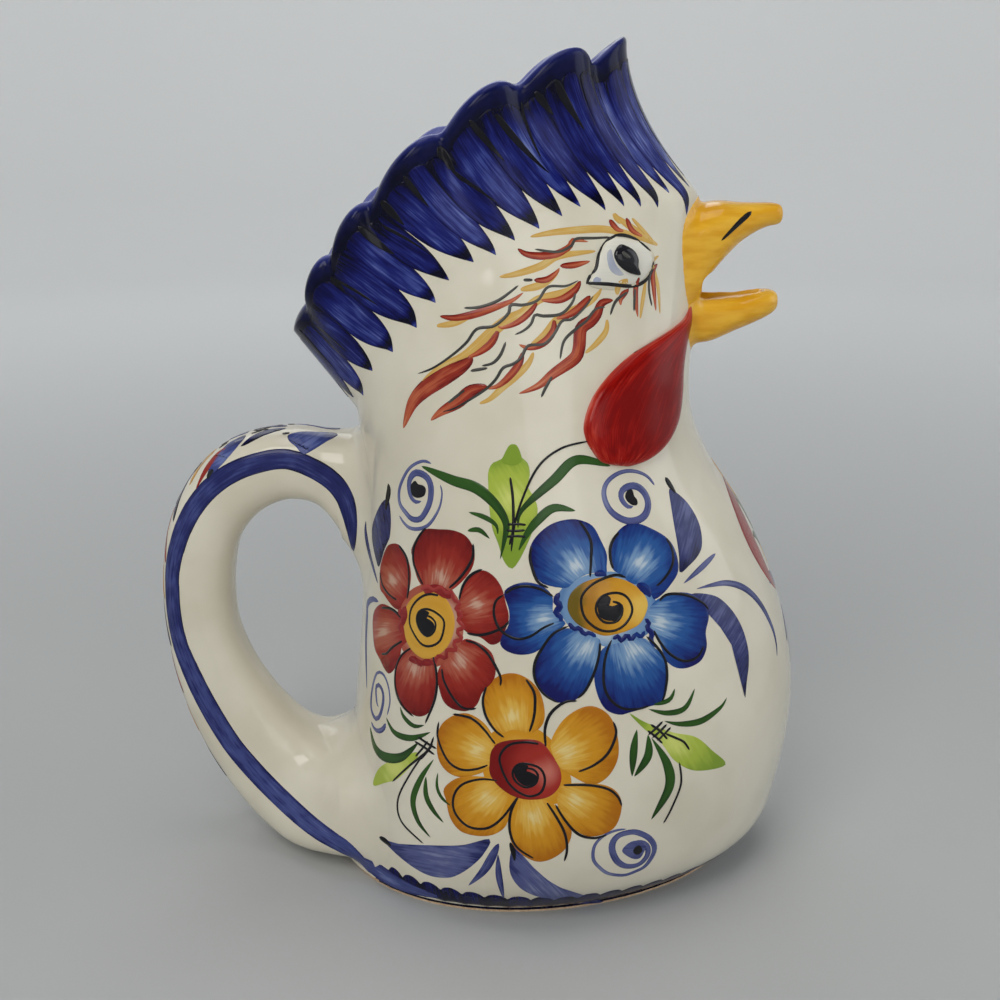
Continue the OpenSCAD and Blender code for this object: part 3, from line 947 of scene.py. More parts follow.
def relief(bm, shares, rise, side, fullness, end_reach, steps=(90, 40)):
    """A raised drop on the skin: low arches across it, sunk at the rim and rounded off at both ends."""
    last = len(shares) - 1
    t = np.linspace(0, last, steps[0])
    s = blend_at(shares, t)[:, None, :]
    a = np.linspace(0, math.pi, steps[1])
    over = (1 - np.cos(a)) / 2
    ends = np.sqrt(np.clip(np.minimum(t, last - t) / end_reach, 0, 1))[:, None]
    arch = np.sin(a) ** fullness
    arch[-1] = 0
    height = rise * np.clip(s[..., 4], 0, None) * ends * arch
    height[[0, -1]] = -RIM_SUNK
    height[:, [0, -1]] = -RIM_SUNK
    row = mix(s[..., 0], s[..., 2], over)
    degrees = side * mix(s[..., 1], s[..., 3], over)
    places = ring_point(blend_at(BODY_ROWS, row), degrees, -height)
    along = np.broadcast_to(t[:, None] * RELIEF_GRAIN[0], row.shape)
    across = np.broadcast_to(over * RELIEF_GRAIN[1], row.shape)
    # The tone is the drop's height over the skin: on the wattles it paints the low rim paler than the crown,
    # a painted highlight along the edge
    sheet(bm, places, np.stack([across, along], -1), height / rise)


STREAK_ROUGHNESS = 0.12
STREAK_BUMP = 0.25
# How much wider and shorter the broad streaks are than the fine ones
BROAD_STREAKS = (0.22, 1.6)
THIN_FILM = 0.00005


def streaked(name, stops, gloss=0.25, across=0.9, along=0.07, spread=0.5, bias=0.0, lift=0.0003):
    """Glaze put on with a brush: its tone runs through the stops, broken up by the brush's streaks."""
    made = plain(name, srgb(*stops[-1][1]), STREAK_ROUGHNESS, gloss)
    tree = made.node_tree
    uv = coordinate(tree, "UV")
    fine = noise(tree, uv, (across, along, 1), 1.0, 3)
    broad = noise(tree, uv, (across * BROAD_STREAKS[0], along * BROAD_STREAKS[1], 1), 1.0, 2)
    both = reckoned(tree, "ADD", fine, broad)
    total = reckoned(tree, "ADD", reckoned(tree, "MULTIPLY_ADD", both, spread, bias - spread), tone_of(tree))
    dress(tree, ramp(tree, total, stops), fine, STREAK_BUMP, lift)
    return made


# Palest at tone 0, on the sunk rim of each drop: a painted highlight along its edge; darkest on the crown
wattle_red = streaked("wattle_red_gloss", (
    (0.0, (204, 104, 92)), (0.3, (178, 48, 34)), (0.6, (150, 16, 8)), (1.0, (124, 4, 2)),
), gloss=0.14, across=3.2, along=0.05, spread=1.25, bias=0.02)
for label, side in SIDES:
    bm = bmesh.new()
    relief(bm, WATTLE_SHARES, WATTLE_RISE, side, fullness=0.62, end_reach=1.6)
    weld(bm)
    face_out(bm)
    wattle = put("wattle_drop_" + label, bm, wattle_red)
    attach(wattle, "root")
    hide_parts("wattle_" + label)


# The eyes: a raised almond of clay on each side of the head in ivory glaze, with a whiter coat over it and a
# domed drop of black glaze as its pupil.
EYE_RISE = 2.6
# Rows, angles and rise, as for the wattles
EYE_SHARES = (
    (13.10, 53.6, 13.17, 55.4, 0.00),
    (13.13, 49.5, 13.28, 59.5, 0.20),
    (13.19, 45.5, 13.44, 63.0, 0.55),
    (13.34, 42.0, 13.60, 62.3, 0.80),
    (13.54, 40.2, 13.77, 61.3, 0.95),
    (13.76, 41.0, 13.95, 60.0, 1.00),
    (13.92, 43.0, 14.10, 58.5, 0.90),
    (14.05, 46.0, 14.20, 57.0, 0.70),
    (14.16, 49.5, 14.27, 55.0, 0.30),
    (14.23, 51.6, 14.26, 53.0, 0.00),
)
pupil_black = glaze("pupil_black_gloss", (10, 10, 14), (24, 24, 32), 0.06)
for label, side in SIDES:
    bm = bmesh.new()
    relief(bm, EYE_SHARES, EYE_RISE, side, fullness=0.7, end_reach=1.2, steps=(60, 40))
    weld(bm)
    face_out(bm)
    eye = put("eye_almond_" + label, bm, ivory)
    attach(eye, "root")
    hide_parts("eye_" + label)


def clay_tree():
    """A search tree over all the clay so far, in millimetres."""
    corners, faces = [], []
    for piece in bpy.data.objects:
        if piece.type == "MESH" and piece.get("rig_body") and not piece.hide_render:
            start = len(corners)
            corners += [v.co / MM for v in piece.data.vertices]
            faces += [[start + i for i in f.vertices] for f in piece.data.polygons]
    return BVHTree.FromPolygons(corners, faces)


CLAY = clay_tree()
EYE_POINT = Vector(CAMERA_MM)
TILT = math.radians(CAMERA_TILT_DEG)
MM_PER_PX = 0.36
MIDDLE_PX = FRAME_PX / 2
JUG_MIDDLE_Y = -40.0
PAINT_EDGE_SUNK = 0.04
CURVE_FINENESS = 40
LINE_FINENESS = 200
DARKEST = 1.2


def seen(spot, skin=CLAY):
    """The place on the clay that the photograph shows at a pixel, or the nearest to its line of sight."""
    across, up = (spot[0] - MIDDLE_PX) / FOCAL_PX, (MIDDLE_PX - spot[1]) / FOCAL_PX
    line = Vector((across, math.cos(TILT) + up * math.sin(TILT), up * math.cos(TILT) - math.sin(TILT)))
    hit = skin.ray_cast(EYE_POINT, line)[0]
    if hit is None:
        hit = skin.find_nearest(EYE_POINT + line * ((JUG_MIDDLE_Y - EYE_POINT.y) / line.y))[0]
    return np.array(hit)


def laid(place, height):
    """The place at a height over the clay, nearest to a place."""
    near, way, _, _ = CLAY.find_nearest(Vector(place))
    return np.array(near + way * height)


def along_curve(points, count, closed=False):
    """Even steps along a smooth curve through points."""
    points = np.asarray(points, float)
    if closed:
        points = np.concatenate([points[-1:], points, points[:2]])
    span = (1, len(points) - 2) if closed else (0, len(points) - 1)
    if len(points) < 3:
        fine = mix(points[0], points[1], np.linspace(0, 1, LINE_FINENESS)[:, None])
    else:
        fine = blend_at(points, np.linspace(*span, CURVE_FINENESS * len(points)))
    run = run_along(fine)
    steps = np.linspace(0, run[-1], count, endpoint=not closed)
    return np.stack([np.interp(steps, run, fine[:, i]) for i in range(points.shape[1])], -1)


MIRROR = np.array((1.0, -1.0, 1.0))


def lay(bm, places, uvs, tones):
    """A skin of paint on the side that the photograph shows, and its mirror on the other."""
    sheet(bm, places, uvs, tones)
    sheet(bm, places * MIRROR, uvs, tones)


DAB_RINGS = np.array((1.0, 0.975, 0.93, 0.86, 0.77, 0.67, 0.56, 0.45, 0.34, 0.23, 0.12, 0.0))


def dab(bm, outline, lift, tone, grain, dome=0.0, sides=64):
    """A filled shape of paint inside an outline of pixels, which tone and grain turn into tones and UVs."""
    edge = along_curve(outline, sides, True)
    edge = np.concatenate([edge, edge[:1]])
    core = edge.mean(0)
    spots = core + (edge - core) * DAB_RINGS[:, None, None]
    height = lift + dome * np.sqrt(1 - DAB_RINGS**2)
    height[0] = -PAINT_EDGE_SUNK
    places = np.array([
        [laid(seen(spot), h) for spot in row] for row, h in zip(spots, height)
    ])
    places[:, -1] = places[:, 0]
    places[-1] = places[-1].mean(0)
    lay(bm, places, grain(spots), tone(spots))


def finish_paint(name, bm, material):
    weld(bm)
    face_out(bm)
    piece = put(name, bm, material)
    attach(piece, "root")


def dabbed(name, material, slot, outlines, lift, tone, grain, **shape):
    """A piece of paint made of filled shapes."""
    bm = bmesh.new()
    for outline in outlines:
        dab(bm, outline, lift, tone, grain, **shape)
    finish_paint(name, bm, material)


def straight_grain(degrees=0.0):
    """UVs in millimetres whose second axis runs along a direction on the picture."""
    a = math.radians(degrees)
    turn = np.array(((-math.sin(a), math.cos(a)), (math.cos(a), math.sin(a))))
    return lambda spots: spots @ turn.T * MM_PER_PX


def round_grain(centre):
    """UVs that run out from a flower's middle."""
    def grain(spots):
        off = spots - centre
        main = off[:-1].mean((0, 1))
        off = np.stack([off @ main, off @ np.array((-main[1], main[0]))], -1) / np.linalg.norm(main)
        reach = np.linalg.norm(off, axis=-1)
        angle = np.arctan2(off[..., 1], off[..., 0])
        return np.stack([angle * np.linalg.norm(main) * MM_PER_PX, reach * MM_PER_PX], -1)
    return grain


def flat_tone(value):
    return lambda spots: np.full(spots.shape[:2], value)


def from_pale(spot, reach, power=0.9):
    """A tone that deepens away from a shape's pale spot."""
    return lambda spots: np.clip(np.linalg.norm(spots - spot, axis=-1) / reach, 0, DARKEST) ** power


def from_middle(outline, reach):
    return from_pale(np.mean(outline, 0), reach, 1.0)


EYE_WHITE_PX = (
    (587, 284), (591, 275), (597, 266), (601, 253), (608, 242), (621, 237), (637, 241), (650, 252),
    (653, 262), (648, 273), (640, 282), (620, 284), (602, 284),
)
EYE_WHITE_LIFT = 0.03
MID_TONE = flat_tone(0.5)
eye_white = streaked("eye_white_gloss", ((0.0, (232, 228, 214)), (1.0, (212, 210, 200))))
dabbed("eye_whites", eye_white, "ivory_glaze", [EYE_WHITE_PX], EYE_WHITE_LIFT, MID_TONE, straight_grain())
PUPIL_PX = (
    (619, 245), (626, 246), (634, 251), (638, 259), (638, 267), (640, 275), (632, 274), (624, 270),
    (617, 263), (614, 254),
)
DROP_LIFT = 0.2
PUPIL_DOME = 1.4
dabbed("eye_pupils", pupil_black, None, [PUPIL_PX], DROP_LIFT, MID_TONE, straight_grain(), dome=PUPIL_DOME)


# The foot: the flat ring of bare, fired clay that the jug stands on, wiped clean of glaze before the firing.
CLAY_ROUGHNESS = 0.85
GRIT_SIZE = 700
GRIT_STRENGTH = 0.5
GRIT_H = 0.0004


def fired_clay(name, dark, light):
    made = plain(name, srgb(*light), CLAY_ROUGHNESS)
    tree = made.node_tree
    grit = noise(tree, coordinate(tree), (1, 1, 1), GRIT_SIZE, 6)
    dress(tree, ramp(tree, grit, ((0.3, dark), (0.75, light))), grit, GRIT_STRENGTH, GRIT_H)
    return made


clay = fired_clay("bare_clay_rough", (186, 156, 124), (216, 190, 160))
for held in frame["nodes"]["foot"].material_slots:
    held.material = clay


# The blue flower: six petals, each one stroke of a brush loaded dark at one edge, so that cobalt runs into a
# pale wash near the mustard disc. Each is fired into the glaze as a skin a tenth of a millimetre thick.
# A petal holds the pale spot, how far from it the colour turns dark, and the outline, all in pixels
BLUE_CENTRE = (607.5, 608.5)
BLUE_PETALS = (
    ((576, 566), 50, (
        (529, 554), (532, 542), (541, 531), (553, 523), (569, 519), (581, 520), (593, 526), (601, 540),
        (607, 554), (607, 566), (606, 576), (593, 573), (578, 579), (568, 588), (560, 588), (549, 586),
        (540, 582), (534, 572),
    )),
    ((640, 562), 46, (
        (610, 551), (615, 535), (625, 525), (637, 523), (651, 528), (665, 536), (673, 545), (678, 559),
        (678, 573), (670, 586), (663, 594), (654, 600), (651, 594), (645, 585), (631, 584), (622, 576),
        (613, 570), (610, 562),
    )),
    ((660, 622), 54, (
        (650, 606), (656, 600), (666, 595), (681, 592), (695, 595), (706, 604), (709, 617), (706, 632),
        (707, 647), (701, 661), (688, 668), (676, 668), (666, 661), (663, 653), (656, 636), (648, 626),
        (647, 614),
    )),
    ((634, 650), 62, (
        (612, 644), (626, 641), (644, 638), (654, 647), (663, 655), (666, 669), (665, 688), (661, 702),
        (645, 708), (629, 713), (619, 715), (606, 710), (598, 697), (594, 679), (596, 661), (603, 648),
    )),
    ((586, 648), 56, (
        (568, 628), (556, 633), (544, 645), (536, 661), (535, 676), (541, 691), (552, 701), (562, 703),
        (574, 701), (584, 692), (591, 679), (597, 664), (600, 647), (600, 639), (584, 632),
    )),
    ((544, 620), 44, (
        (553, 598), (549, 591), (540, 585), (527, 582), (515, 584), (506, 589), (504, 595), (509, 611),
        (508, 626), (502, 635), (500, 644), (506, 651), (519, 655), (534, 653), (546, 644), (556, 632),
        (566, 623), (554, 614), (553, 606),
    )),
)
BLUE_WASH = (
    (558, 608), (560, 590), (578, 578), (600, 572), (618, 572), (640, 580), (654, 596), (658, 612),
    (650, 632), (634, 642), (612, 648), (592, 642), (570, 628),
)
WASH_LIFT = 0.06
WASH_REACH = 90
PETAL_LIFT = 0.10
PETAL_STEP = 0.014


def petals(name, table, centre, wash, load, material):
    """A flower's petals over the pale wash that joins them to its disc."""
    bm = bmesh.new()
    shade = from_pale(centre, WASH_REACH, 1.0)
    dab(bm, wash, WASH_LIFT, lambda spots: load + shade(spots), round_grain(centre))
    for i, (pale, reach, outline) in enumerate(table):
        dab(bm, outline, PETAL_LIFT + PETAL_STEP * i, from_pale(pale, reach), round_grain(centre))
    finish_paint(name, bm, material)


petal_blue = streaked("petal_blue_gloss", (
    (0.00, (184, 198, 208)), (0.22, (112, 146, 184)), (0.48, (34, 84, 150)), (0.76, (14, 50, 122)),
    (1.00, (8, 14, 88)),
))
petals("blue_petals", BLUE_PETALS, BLUE_CENTRE, BLUE_WASH, -0.22, petal_blue)


# The red flower behind it: six narrower petals in iron red that thins to pink where the brush ran dry.
RED_CENTRE = (429, 624.5)
RED_PETALS = (
    ((441, 578), 50, (
        (413, 559), (411, 550), (417, 537), (425, 529), (439, 529), (453, 530), (465, 535), (472, 544),
        (475, 556), (472, 569), (462, 582), (450, 591), (439, 588), (428, 589), (420, 584), (415, 572),
    )),
    ((476, 604), 44, (
        (459, 601), (462, 586), (471, 575), (483, 570), (494, 576), (502, 588), (506, 603), (509, 617),
        (505, 632), (500, 642), (491, 645), (481, 638), (466, 632), (459, 622), (456, 611),
    )),
    ((460, 660), 52, (
        (464, 639), (475, 641), (486, 647), (493, 655), (496, 669), (493, 682), (483, 692), (477, 705),
        (468, 711), (459, 711), (450, 708), (443, 701), (439, 689), (437, 676), (440, 666), (447, 660),
        (456, 650),
    )),
    ((416, 668), 50, (
        (414, 648), (403, 652), (396, 664), (395, 679), (398, 695), (405, 708), (415, 716), (424, 716),
        (431, 710), (436, 696), (437, 682), (436, 669), (434, 663), (424, 664), (415, 658),
    )),
    ((384, 632), 44, (
        (373, 615), (380, 604), (389, 606), (396, 611), (402, 620), (405, 632), (408, 641), (402, 647),
        (399, 661), (389, 674), (380, 660), (374, 645),
    )),
    ((392, 580), 42, (
        (380, 570), (382, 559), (386, 548), (390, 544), (398, 544), (405, 553), (410, 566), (411, 579),
        (408, 594), (403, 603), (399, 610), (392, 606), (384, 595), (380, 588),
    )),
)
RED_WASH = (
    (397, 628), (398, 608), (408, 592), (422, 584), (440, 584), (454, 592), (462, 608), (464, 628),
    (460, 648), (448, 662), (432, 668), (416, 664), (402, 650),
)
petal_red = streaked("petal_red_gloss", (
    (0.00, (198, 158, 138)), (0.22, (170, 84, 64)), (0.50, (148, 38, 28)), (0.80, (124, 18, 13)),
    (1.00, (102, 7, 8)),
))
petals("red_petals", RED_PETALS, RED_CENTRE, RED_WASH, -0.2, petal_red)


# The yellow flower below: six broad petals in ochre.
YELLOW_CENTRE = (524, 770)
YELLOW_PETALS = (
    ((512, 716), 42, (
        (483, 702), (487, 686), (498, 676), (514, 673), (530, 680), (541, 694), (545, 713), (542, 726),
        (530, 734), (514, 730), (500, 734), (490, 724),
    )),
    ((566, 752), 52, (
        (551, 740), (562, 721), (578, 709), (594, 706), (610, 716), (618, 737), (618, 759), (608, 777),
        (592, 785), (573, 777), (559, 767), (551, 751),
    )),
    ((576, 800), 44, (
        (562, 785), (584, 783), (605, 785), (618, 793), (622, 807), (616, 826), (602, 835), (586, 836),
        (570, 826), (559, 810), (557, 796),
    )),
    ((534, 816), 44, (
        (514, 801), (509, 823), (511, 842), (522, 855), (538, 862), (554, 858), (567, 847), (572, 831),
        (565, 818), (554, 804), (538, 799), (522, 801),
    )),
    ((488, 798), 44, (
        (444, 788), (460, 777), (487, 777), (506, 783), (517, 793), (511, 809), (506, 826), (493, 835),
        (476, 836), (460, 831), (450, 818), (446, 801),
    )),
    ((478, 750), 42, (
        (439, 729), (450, 717), (466, 713), (482, 721), (492, 734), (495, 748), (490, 767), (476, 775),
        (458, 777), (444, 769), (437, 753),
    )),
)
YELLOW_WASH = (
    (482, 770), (480, 748), (492, 732), (512, 726), (536, 728), (556, 744), (566, 762), (572, 784),
    (562, 802), (540, 806), (514, 806), (492, 796),
)
petal_ochre = streaked("petal_ochre_gloss", (
    (0.00, (228, 204, 136)), (0.25, (220, 174, 74)), (0.55, (206, 144, 30)), (1.00, (178, 108, 8)),
), spread=0.55)
petals("yellow_petals", YELLOW_PETALS, YELLOW_CENTRE, YELLOW_WASH, 0.1, petal_ochre)


# The discs of the three flowers, dabbed on over the petals' inner ends, and the small pools of blue that
# gathered round them.
BLUE_DISC = (
    (567, 606), (570, 594), (580, 584), (596, 578), (612, 577), (628, 581), (641, 590), (648, 602),
    (646, 614), (640, 624), (630, 630), (618, 634), (604, 636), (590, 631), (578, 625), (570, 616),
)
RED_DISC = (
    (404, 626), (405, 610), (411, 599), (421, 592), (433, 590), (444, 596), (451, 606), (455, 620),
    (453, 636), (446, 649), (435, 657), (424, 659), (413, 652), (406, 640),
)
YELLOW_DISC = (
    (489, 764), (491, 750), (500, 742), (520, 739), (540, 741), (552, 754), (561, 771), (560, 786),
    (549, 797), (530, 800), (512, 796), (498, 786), (490, 775),
)
# The pale spot of a disc, and how far from it the colour turns dark
BLUE_DISC_PALE = ((640, 606), 66)
YELLOW_DISC_PALE = ((548, 772), 50)
DISC_LIFT = 0.22
POOL_LIFT = 0.24
# A line of pixels, its width and how far it swells
BLUE_POOLS = (
    (((636, 584), (642, 587), (648, 592), (650, 598)), 11, 1.0),
    ((
        (612, 640), (618, 636), (621, 641), (627, 635), (631, 640), (636, 634), (641, 637), (645, 630),
    ), 5, 0.2),
    (((644, 618), (649, 623), (647, 628), (652, 633), (651, 640), (656, 648)), 6, 0.5),
    (((560, 592), (556, 600), (560, 606), (556, 613), (561, 618), (560, 624)), 7, 0.6),
    (((568, 622), (574, 629), (579, 628), (584, 634), (590, 633), (597, 638)), 5, 0.3),
    (((594, 575), (601, 573), (607, 576)), 7, 0.9),
)
mustard = streaked("disc_mustard_gloss", (
    (0.00, (226, 184, 84)), (0.45, (204, 146, 36)), (0.80, (170, 116, 22)), (1.00, (108, 88, 16)),
))
bm = bmesh.new()
dab(bm, BLUE_DISC, DISC_LIFT, from_pale(*BLUE_DISC_PALE, 1.0), round_grain(BLUE_CENTRE))
dab(bm, RED_DISC, DISC_LIFT, flat_tone(0.3), round_grain(RED_CENTRE))
finish_paint("mustard_discs", bm, mustard)
disc_red = streaked("disc_red_gloss", (
    (0.00, (196, 112, 98)), (0.40, (160, 44, 36)), (1.00, (120, 14, 12)),
), spread=0.35)
dabbed("red_disc", disc_red, "red_glaze", [YELLOW_DISC], DISC_LIFT, from_pale(*YELLOW_DISC_PALE, 1.0),
       round_grain(YELLOW_CENTRE))
FILM_FLATNESS = 0.4
LOWEST_PAINT = 0.3
# Moves the streaks from one kind of stroke to the next, in millimetres
GRAIN_SHIFT = (31, 17)


def flat_topped(columns):
    """Places across a stroke, crowded towards its edges, so that its film lies flat."""
    c = np.linspace(-1, 1, columns)
    return np.sign(c) * np.abs(c) ** FILM_FLATNESS


def ribbon(bm, spine, width, lift, swell=0.0, tones=(0.5, 0.5), peak=0.45, tip=0.06, columns=5,
           edge_tone=0.0):
    """A brush stroke along places on the clay: an even line, or a leaf widest at its peak as it swells."""
    spine = np.asarray(spine)
    s = np.linspace(0, 1, len(spine))
    ends = np.sqrt(np.clip(np.minimum(s, 1 - s) / tip, 0, 1))
    leaf = np.sin(math.pi * s ** (math.log(0.5) / math.log(peak))) ** 0.8
    half = width / 2 * mix(ends, leaf, swell)
    half[[0, -1]] = 0
    tangent = np.gradient(spine, axis=0)
    across = flat_topped(columns)
    run = run_along(spine)
    places = np.zeros((len(spine), columns, 3))
    for i, place in enumerate(spine):
        _, way, _, _ = CLAY.find_nearest(Vector(place))
        aside = np.cross(way, tangent[i])
        aside /= np.linalg.norm(aside) + 1e-9
        for k, c in enumerate(across):
            sunk = abs(c) > 0.99 or i in (0, len(spine) - 1)
            places[i, k] = laid(place + aside * c * half[i], -PAINT_EDGE_SUNK if sunk else lift)
    places[..., 2] = np.maximum(places[..., 2], LOWEST_PAINT)
    wide = across * half[:, None] + tones[0] * GRAIN_SHIFT[0]
    uvs = np.stack(np.broadcast_arrays(wide, run[:, None] + tones[1] * GRAIN_SHIFT[1]), -1)
    shade = mix(tones[0], tones[1], s)[:, None] + edge_tone * np.abs(across) ** 3
    lay(bm, places, uvs, np.broadcast_to(shade, places.shape[:2]))


STROKE_STEP = 1.1
STROKE_ROWS = (10, 240)


def stroke(bm, spots, width_px, lift, **shape):
    """A brush stroke along pixels of the photograph."""
    spots = np.asarray(spots, float)
    length = np.linalg.norm(np.diff(spots, axis=0), axis=-1).sum() * MM_PER_PX
    steps = int(min(max(length / STROKE_STEP, STROKE_ROWS[0]), STROKE_ROWS[1]))
    spine = [seen(spot) for spot in along_curve(spots, steps)]
    ribbon(bm, spine, width_px * MM_PER_PX, lift, **shape)


def brushed(name, material, slot, lines, lift, fullness=1.0, **shape):
    """A piece of paint made of strokes, each a line of pixels and its width."""
    bm = bmesh.new()
    for line, width in lines:
        stroke(bm, line, width * fullness, lift, **shape)
    finish_paint(name, bm, material)


bm = bmesh.new()
for line, width, swell in BLUE_POOLS:
    stroke(bm, line, width, POOL_LIFT, swell=swell, tones=(0.95, 0.8))
finish_paint("blue_pools", bm, petal_blue)


# The crimson squiggle pressed round the red flower's disc with a nearly dry brush, and its pools.
RED_SQUIGGLE = (
    (420, 590), (428, 586), (434, 590), (441, 587), (447, 593), (452, 592), (454, 600), (460, 603),
    (456, 609), (462, 614), (458, 620), (464, 627), (457, 631), (462, 639), (454, 642), (456, 650),
    (447, 650), (446, 658), (438, 656), (434, 664), (427, 660), (420, 665), (415, 658), (409, 658),
)
RED_DRIP = ((402, 606), (399, 614), (402, 620), (399, 627), (403, 634))
RED_POOLS = (
    ((424, 588), (436, 584), (448, 590), (452, 598), (444, 598), (434, 592), (426, 594)),
    ((400, 612), (406, 606), (408, 616), (404, 626), (400, 620)),
    ((412, 656), (424, 661), (434, 660), (430, 666), (416, 664), (409, 660)),
)
SQUIGGLE_LIFT = 0.25
crimson = streaked("squiggle_crimson_gloss", ((0.0, (168, 60, 56)), (1.0, (124, 12, 20))), spread=0.8)
bm = bmesh.new()
stroke(bm, RED_SQUIGGLE, 4.6, SQUIGGLE_LIFT, tones=(0.2, 0.7), tip=0.02)
stroke(bm, RED_DRIP, 4.4, SQUIGGLE_LIFT, swell=0.4)
for pool in RED_POOLS:
    dab(bm, pool, POOL_LIFT, flat_tone(0.7), straight_grain(), sides=32)
finish_paint("red_squiggle", bm, crimson)


# The black linework: outlines, spirals and stems drawn last with a fine liner over the petals.
BLACK_OUTLINES = (
    ((578, 520), (585, 529), (591, 542), (591, 559), (590, 578)),
    ((532, 545), (530, 556), (532, 567), (538, 582), (549, 588)),
    ((504, 595), (512, 589), (525, 586), (540, 589), (549, 594), (554, 597)),
    (
        (505, 594), (496, 601), (494, 614), (499, 628), (509, 636), (519, 639), (531, 636), (543, 628),
        (556, 622),
    ),
    ((569, 626), (554, 633), (543, 647), (535, 663), (535, 679), (544, 694), (559, 703)),
    ((576, 699), (585, 691), (594, 673), (599, 655), (600, 641)),
    ((612, 639), (607, 651), (604, 666), (604, 685), (610, 699), (622, 708), (637, 709), (651, 705)),
    ((646, 636), (657, 647), (665, 660), (667, 676), (665, 692), (662, 702)),
    ((653, 629), (660, 642), (670, 654), (684, 661), (697, 657), (704, 645)),
    ((658, 602), (666, 595), (679, 594), (692, 597), (704, 604), (709, 611)),
    ((620, 531), (613, 540), (610, 550), (611, 562), (614, 570)),
    ((665, 537), (671, 547), (673, 559), (670, 570), (662, 581), (655, 587)),
    ((427, 527), (420, 535), (414, 548), (414, 563), (419, 576), (424, 586)),
    ((473, 543), (473, 556), (468, 567), (459, 579), (448, 589)),
    ((483, 569), (471, 575), (463, 586), (459, 601)),
    ((466, 633), (480, 635), (493, 632), (505, 626), (509, 620)),
    ((464, 640), (477, 644), (488, 654), (497, 669), (501, 679), (500, 687)),
    ((442, 667), (444, 680), (452, 696), (462, 707), (471, 709), (477, 708)),
    ((433, 655), (436, 669), (437, 685), (434, 702), (425, 724)),
    ((413, 647), (402, 655), (396, 670), (396, 689), (402, 705), (414, 717)),
    ((398, 544), (406, 556), (409, 570), (409, 586), (407, 600)),
    ((380, 570), (383, 585), (390, 595), (399, 601)),
    ((380, 608), (389, 608), (396, 612), (403, 620)),
    ((380, 653), (386, 654), (393, 647), (404, 640)),
    ((487, 685), (483, 700), (486, 716), (495, 730), (505, 738)),
    ((525, 678), (534, 692), (535, 708), (533, 721), (529, 733)),
    ((578, 701), (565, 702), (551, 713), (545, 729), (546, 748)),
    ((613, 721), (616, 734), (608, 753), (594, 765), (577, 772)),
    ((562, 785), (589, 785), (608, 789), (618, 797), (622, 807)),
    ((555, 804), (565, 820), (578, 834), (594, 838), (608, 834)),
    ((546, 801), (557, 818), (565, 834), (567, 850), (564, 862)),
    ((519, 795), (511, 812), (510, 831), (517, 847), (535, 859)),
    (
        (518, 796), (503, 817), (487, 828), (468, 826), (455, 812), (454, 796), (463, 784), (482, 779),
        (500, 781),
    ),
    ((439, 721), (438, 737), (447, 759), (460, 769), (476, 769), (490, 764)),
    ((452, 714), (471, 718), (484, 729), (496, 745)),
)
# Spirals on the discs, and the dark heart that fills each
BLACK_SPIRALS = (
    (
        (627, 578), (615, 575), (596, 582), (585, 591), (581, 601), (584, 616), (593, 626), (604, 631),
        (616, 630), (626, 623), (632, 611), (629, 600), (622, 594), (612, 593), (601, 597), (596, 606),
        (597, 614), (604, 622), (615, 622), (621, 616), (622, 607), (618, 603), (610, 601),
    ),
    (
        (441, 596), (430, 594), (420, 598), (412, 608), (410, 622), (414, 633), (422, 644), (431, 646),
        (440, 641), (444, 630), (444, 620), (437, 613), (428, 609), (420, 611), (417, 619), (420, 629),
        (427, 636), (434, 632), (436, 623), (431, 617), (425, 615),
    ),
    (
        (541, 744), (525, 742), (509, 745), (500, 756), (502, 769), (509, 783), (519, 792), (530, 796),
        (541, 792), (545, 780), (541, 769), (530, 764), (519, 764), (513, 771), (515, 780), (525, 787),
        (535, 784), (538, 775), (533, 769), (525, 768),
    ),
)
BLACK_HEARTS = (
    (
        (599, 597), (607, 595), (611, 599), (606, 603), (612, 606), (620, 604), (622, 612), (618, 620),
        (608, 621), (600, 617), (597, 607),
    ),
    (
        (418, 612), (426, 610), (430, 613), (426, 617), (431, 620), (435, 625), (433, 633), (426, 635),
        (420, 629), (417, 620),
    ),
    (
        (516, 766), (524, 764), (529, 766), (525, 770), (531, 772), (537, 776), (535, 783), (526, 786),
        (518, 781), (514, 773),
    ),
)
BLACK_STEMS = (
    (((511, 553), (517, 515), (536, 470), (560, 449), (589, 441)), 2.4),
    (((510, 476), (513, 500), (513, 530), (509, 546)), 3.0),
    (((506, 525), (516, 524), (527, 525)), 2.6),
    (((505, 530), (515, 531), (526, 530)), 2.6),
    (((506, 537), (516, 536), (527, 537)), 2.6),
    (((392, 782), (409, 766), (428, 750), (434, 736)), 2.6),
    (((425, 752), (409, 776), (398, 800), (402, 822), (424, 844)), 2.2),
    (((414, 741), (424, 747), (435, 755)), 2.6),
    (((417, 736), (427, 743), (437, 749)), 2.6),
    (((415, 757), (422, 749), (428, 741)), 2.4),
    (((420, 760), (427, 752), (433, 744)), 2.4),
    (((648, 735), (656, 728), (663, 721)), 2.6),
    (((652, 738), (660, 731), (667, 724)), 2.6),
    (((657, 741), (664, 734), (671, 727)), 2.4),
    (((650, 724), (660, 731), (668, 740)), 2.6),
    (((647, 730), (656, 737), (663, 744)), 2.4),
    (((664, 733), (676, 738), (684, 742), (690, 751)), 2.6),
    (((679, 761), (681, 783), (672, 807), (663, 824)), 2.2),
)
OUTLINE_PX = 3.2
SPIRAL_PX = 3.0
LINE_LIFT = 0.27
SPIRAL_LIFT = 0.29
liner = streaked("liner_black_gloss", ((0.0, (22, 22, 30)), (1.0, (8, 8, 12))), lift=THIN_FILM)
bm = bmesh.new()
for line in BLACK_OUTLINES:
    stroke(bm, line, OUTLINE_PX, LINE_LIFT, swell=0.35)
for line in BLACK_SPIRALS:
    stroke(bm, line, SPIRAL_PX, SPIRAL_LIFT, tip=0.02)
for heart in BLACK_HEARTS:
    dab(bm, heart, LINE_LIFT, MID_TONE, straight_grain(), sides=40)
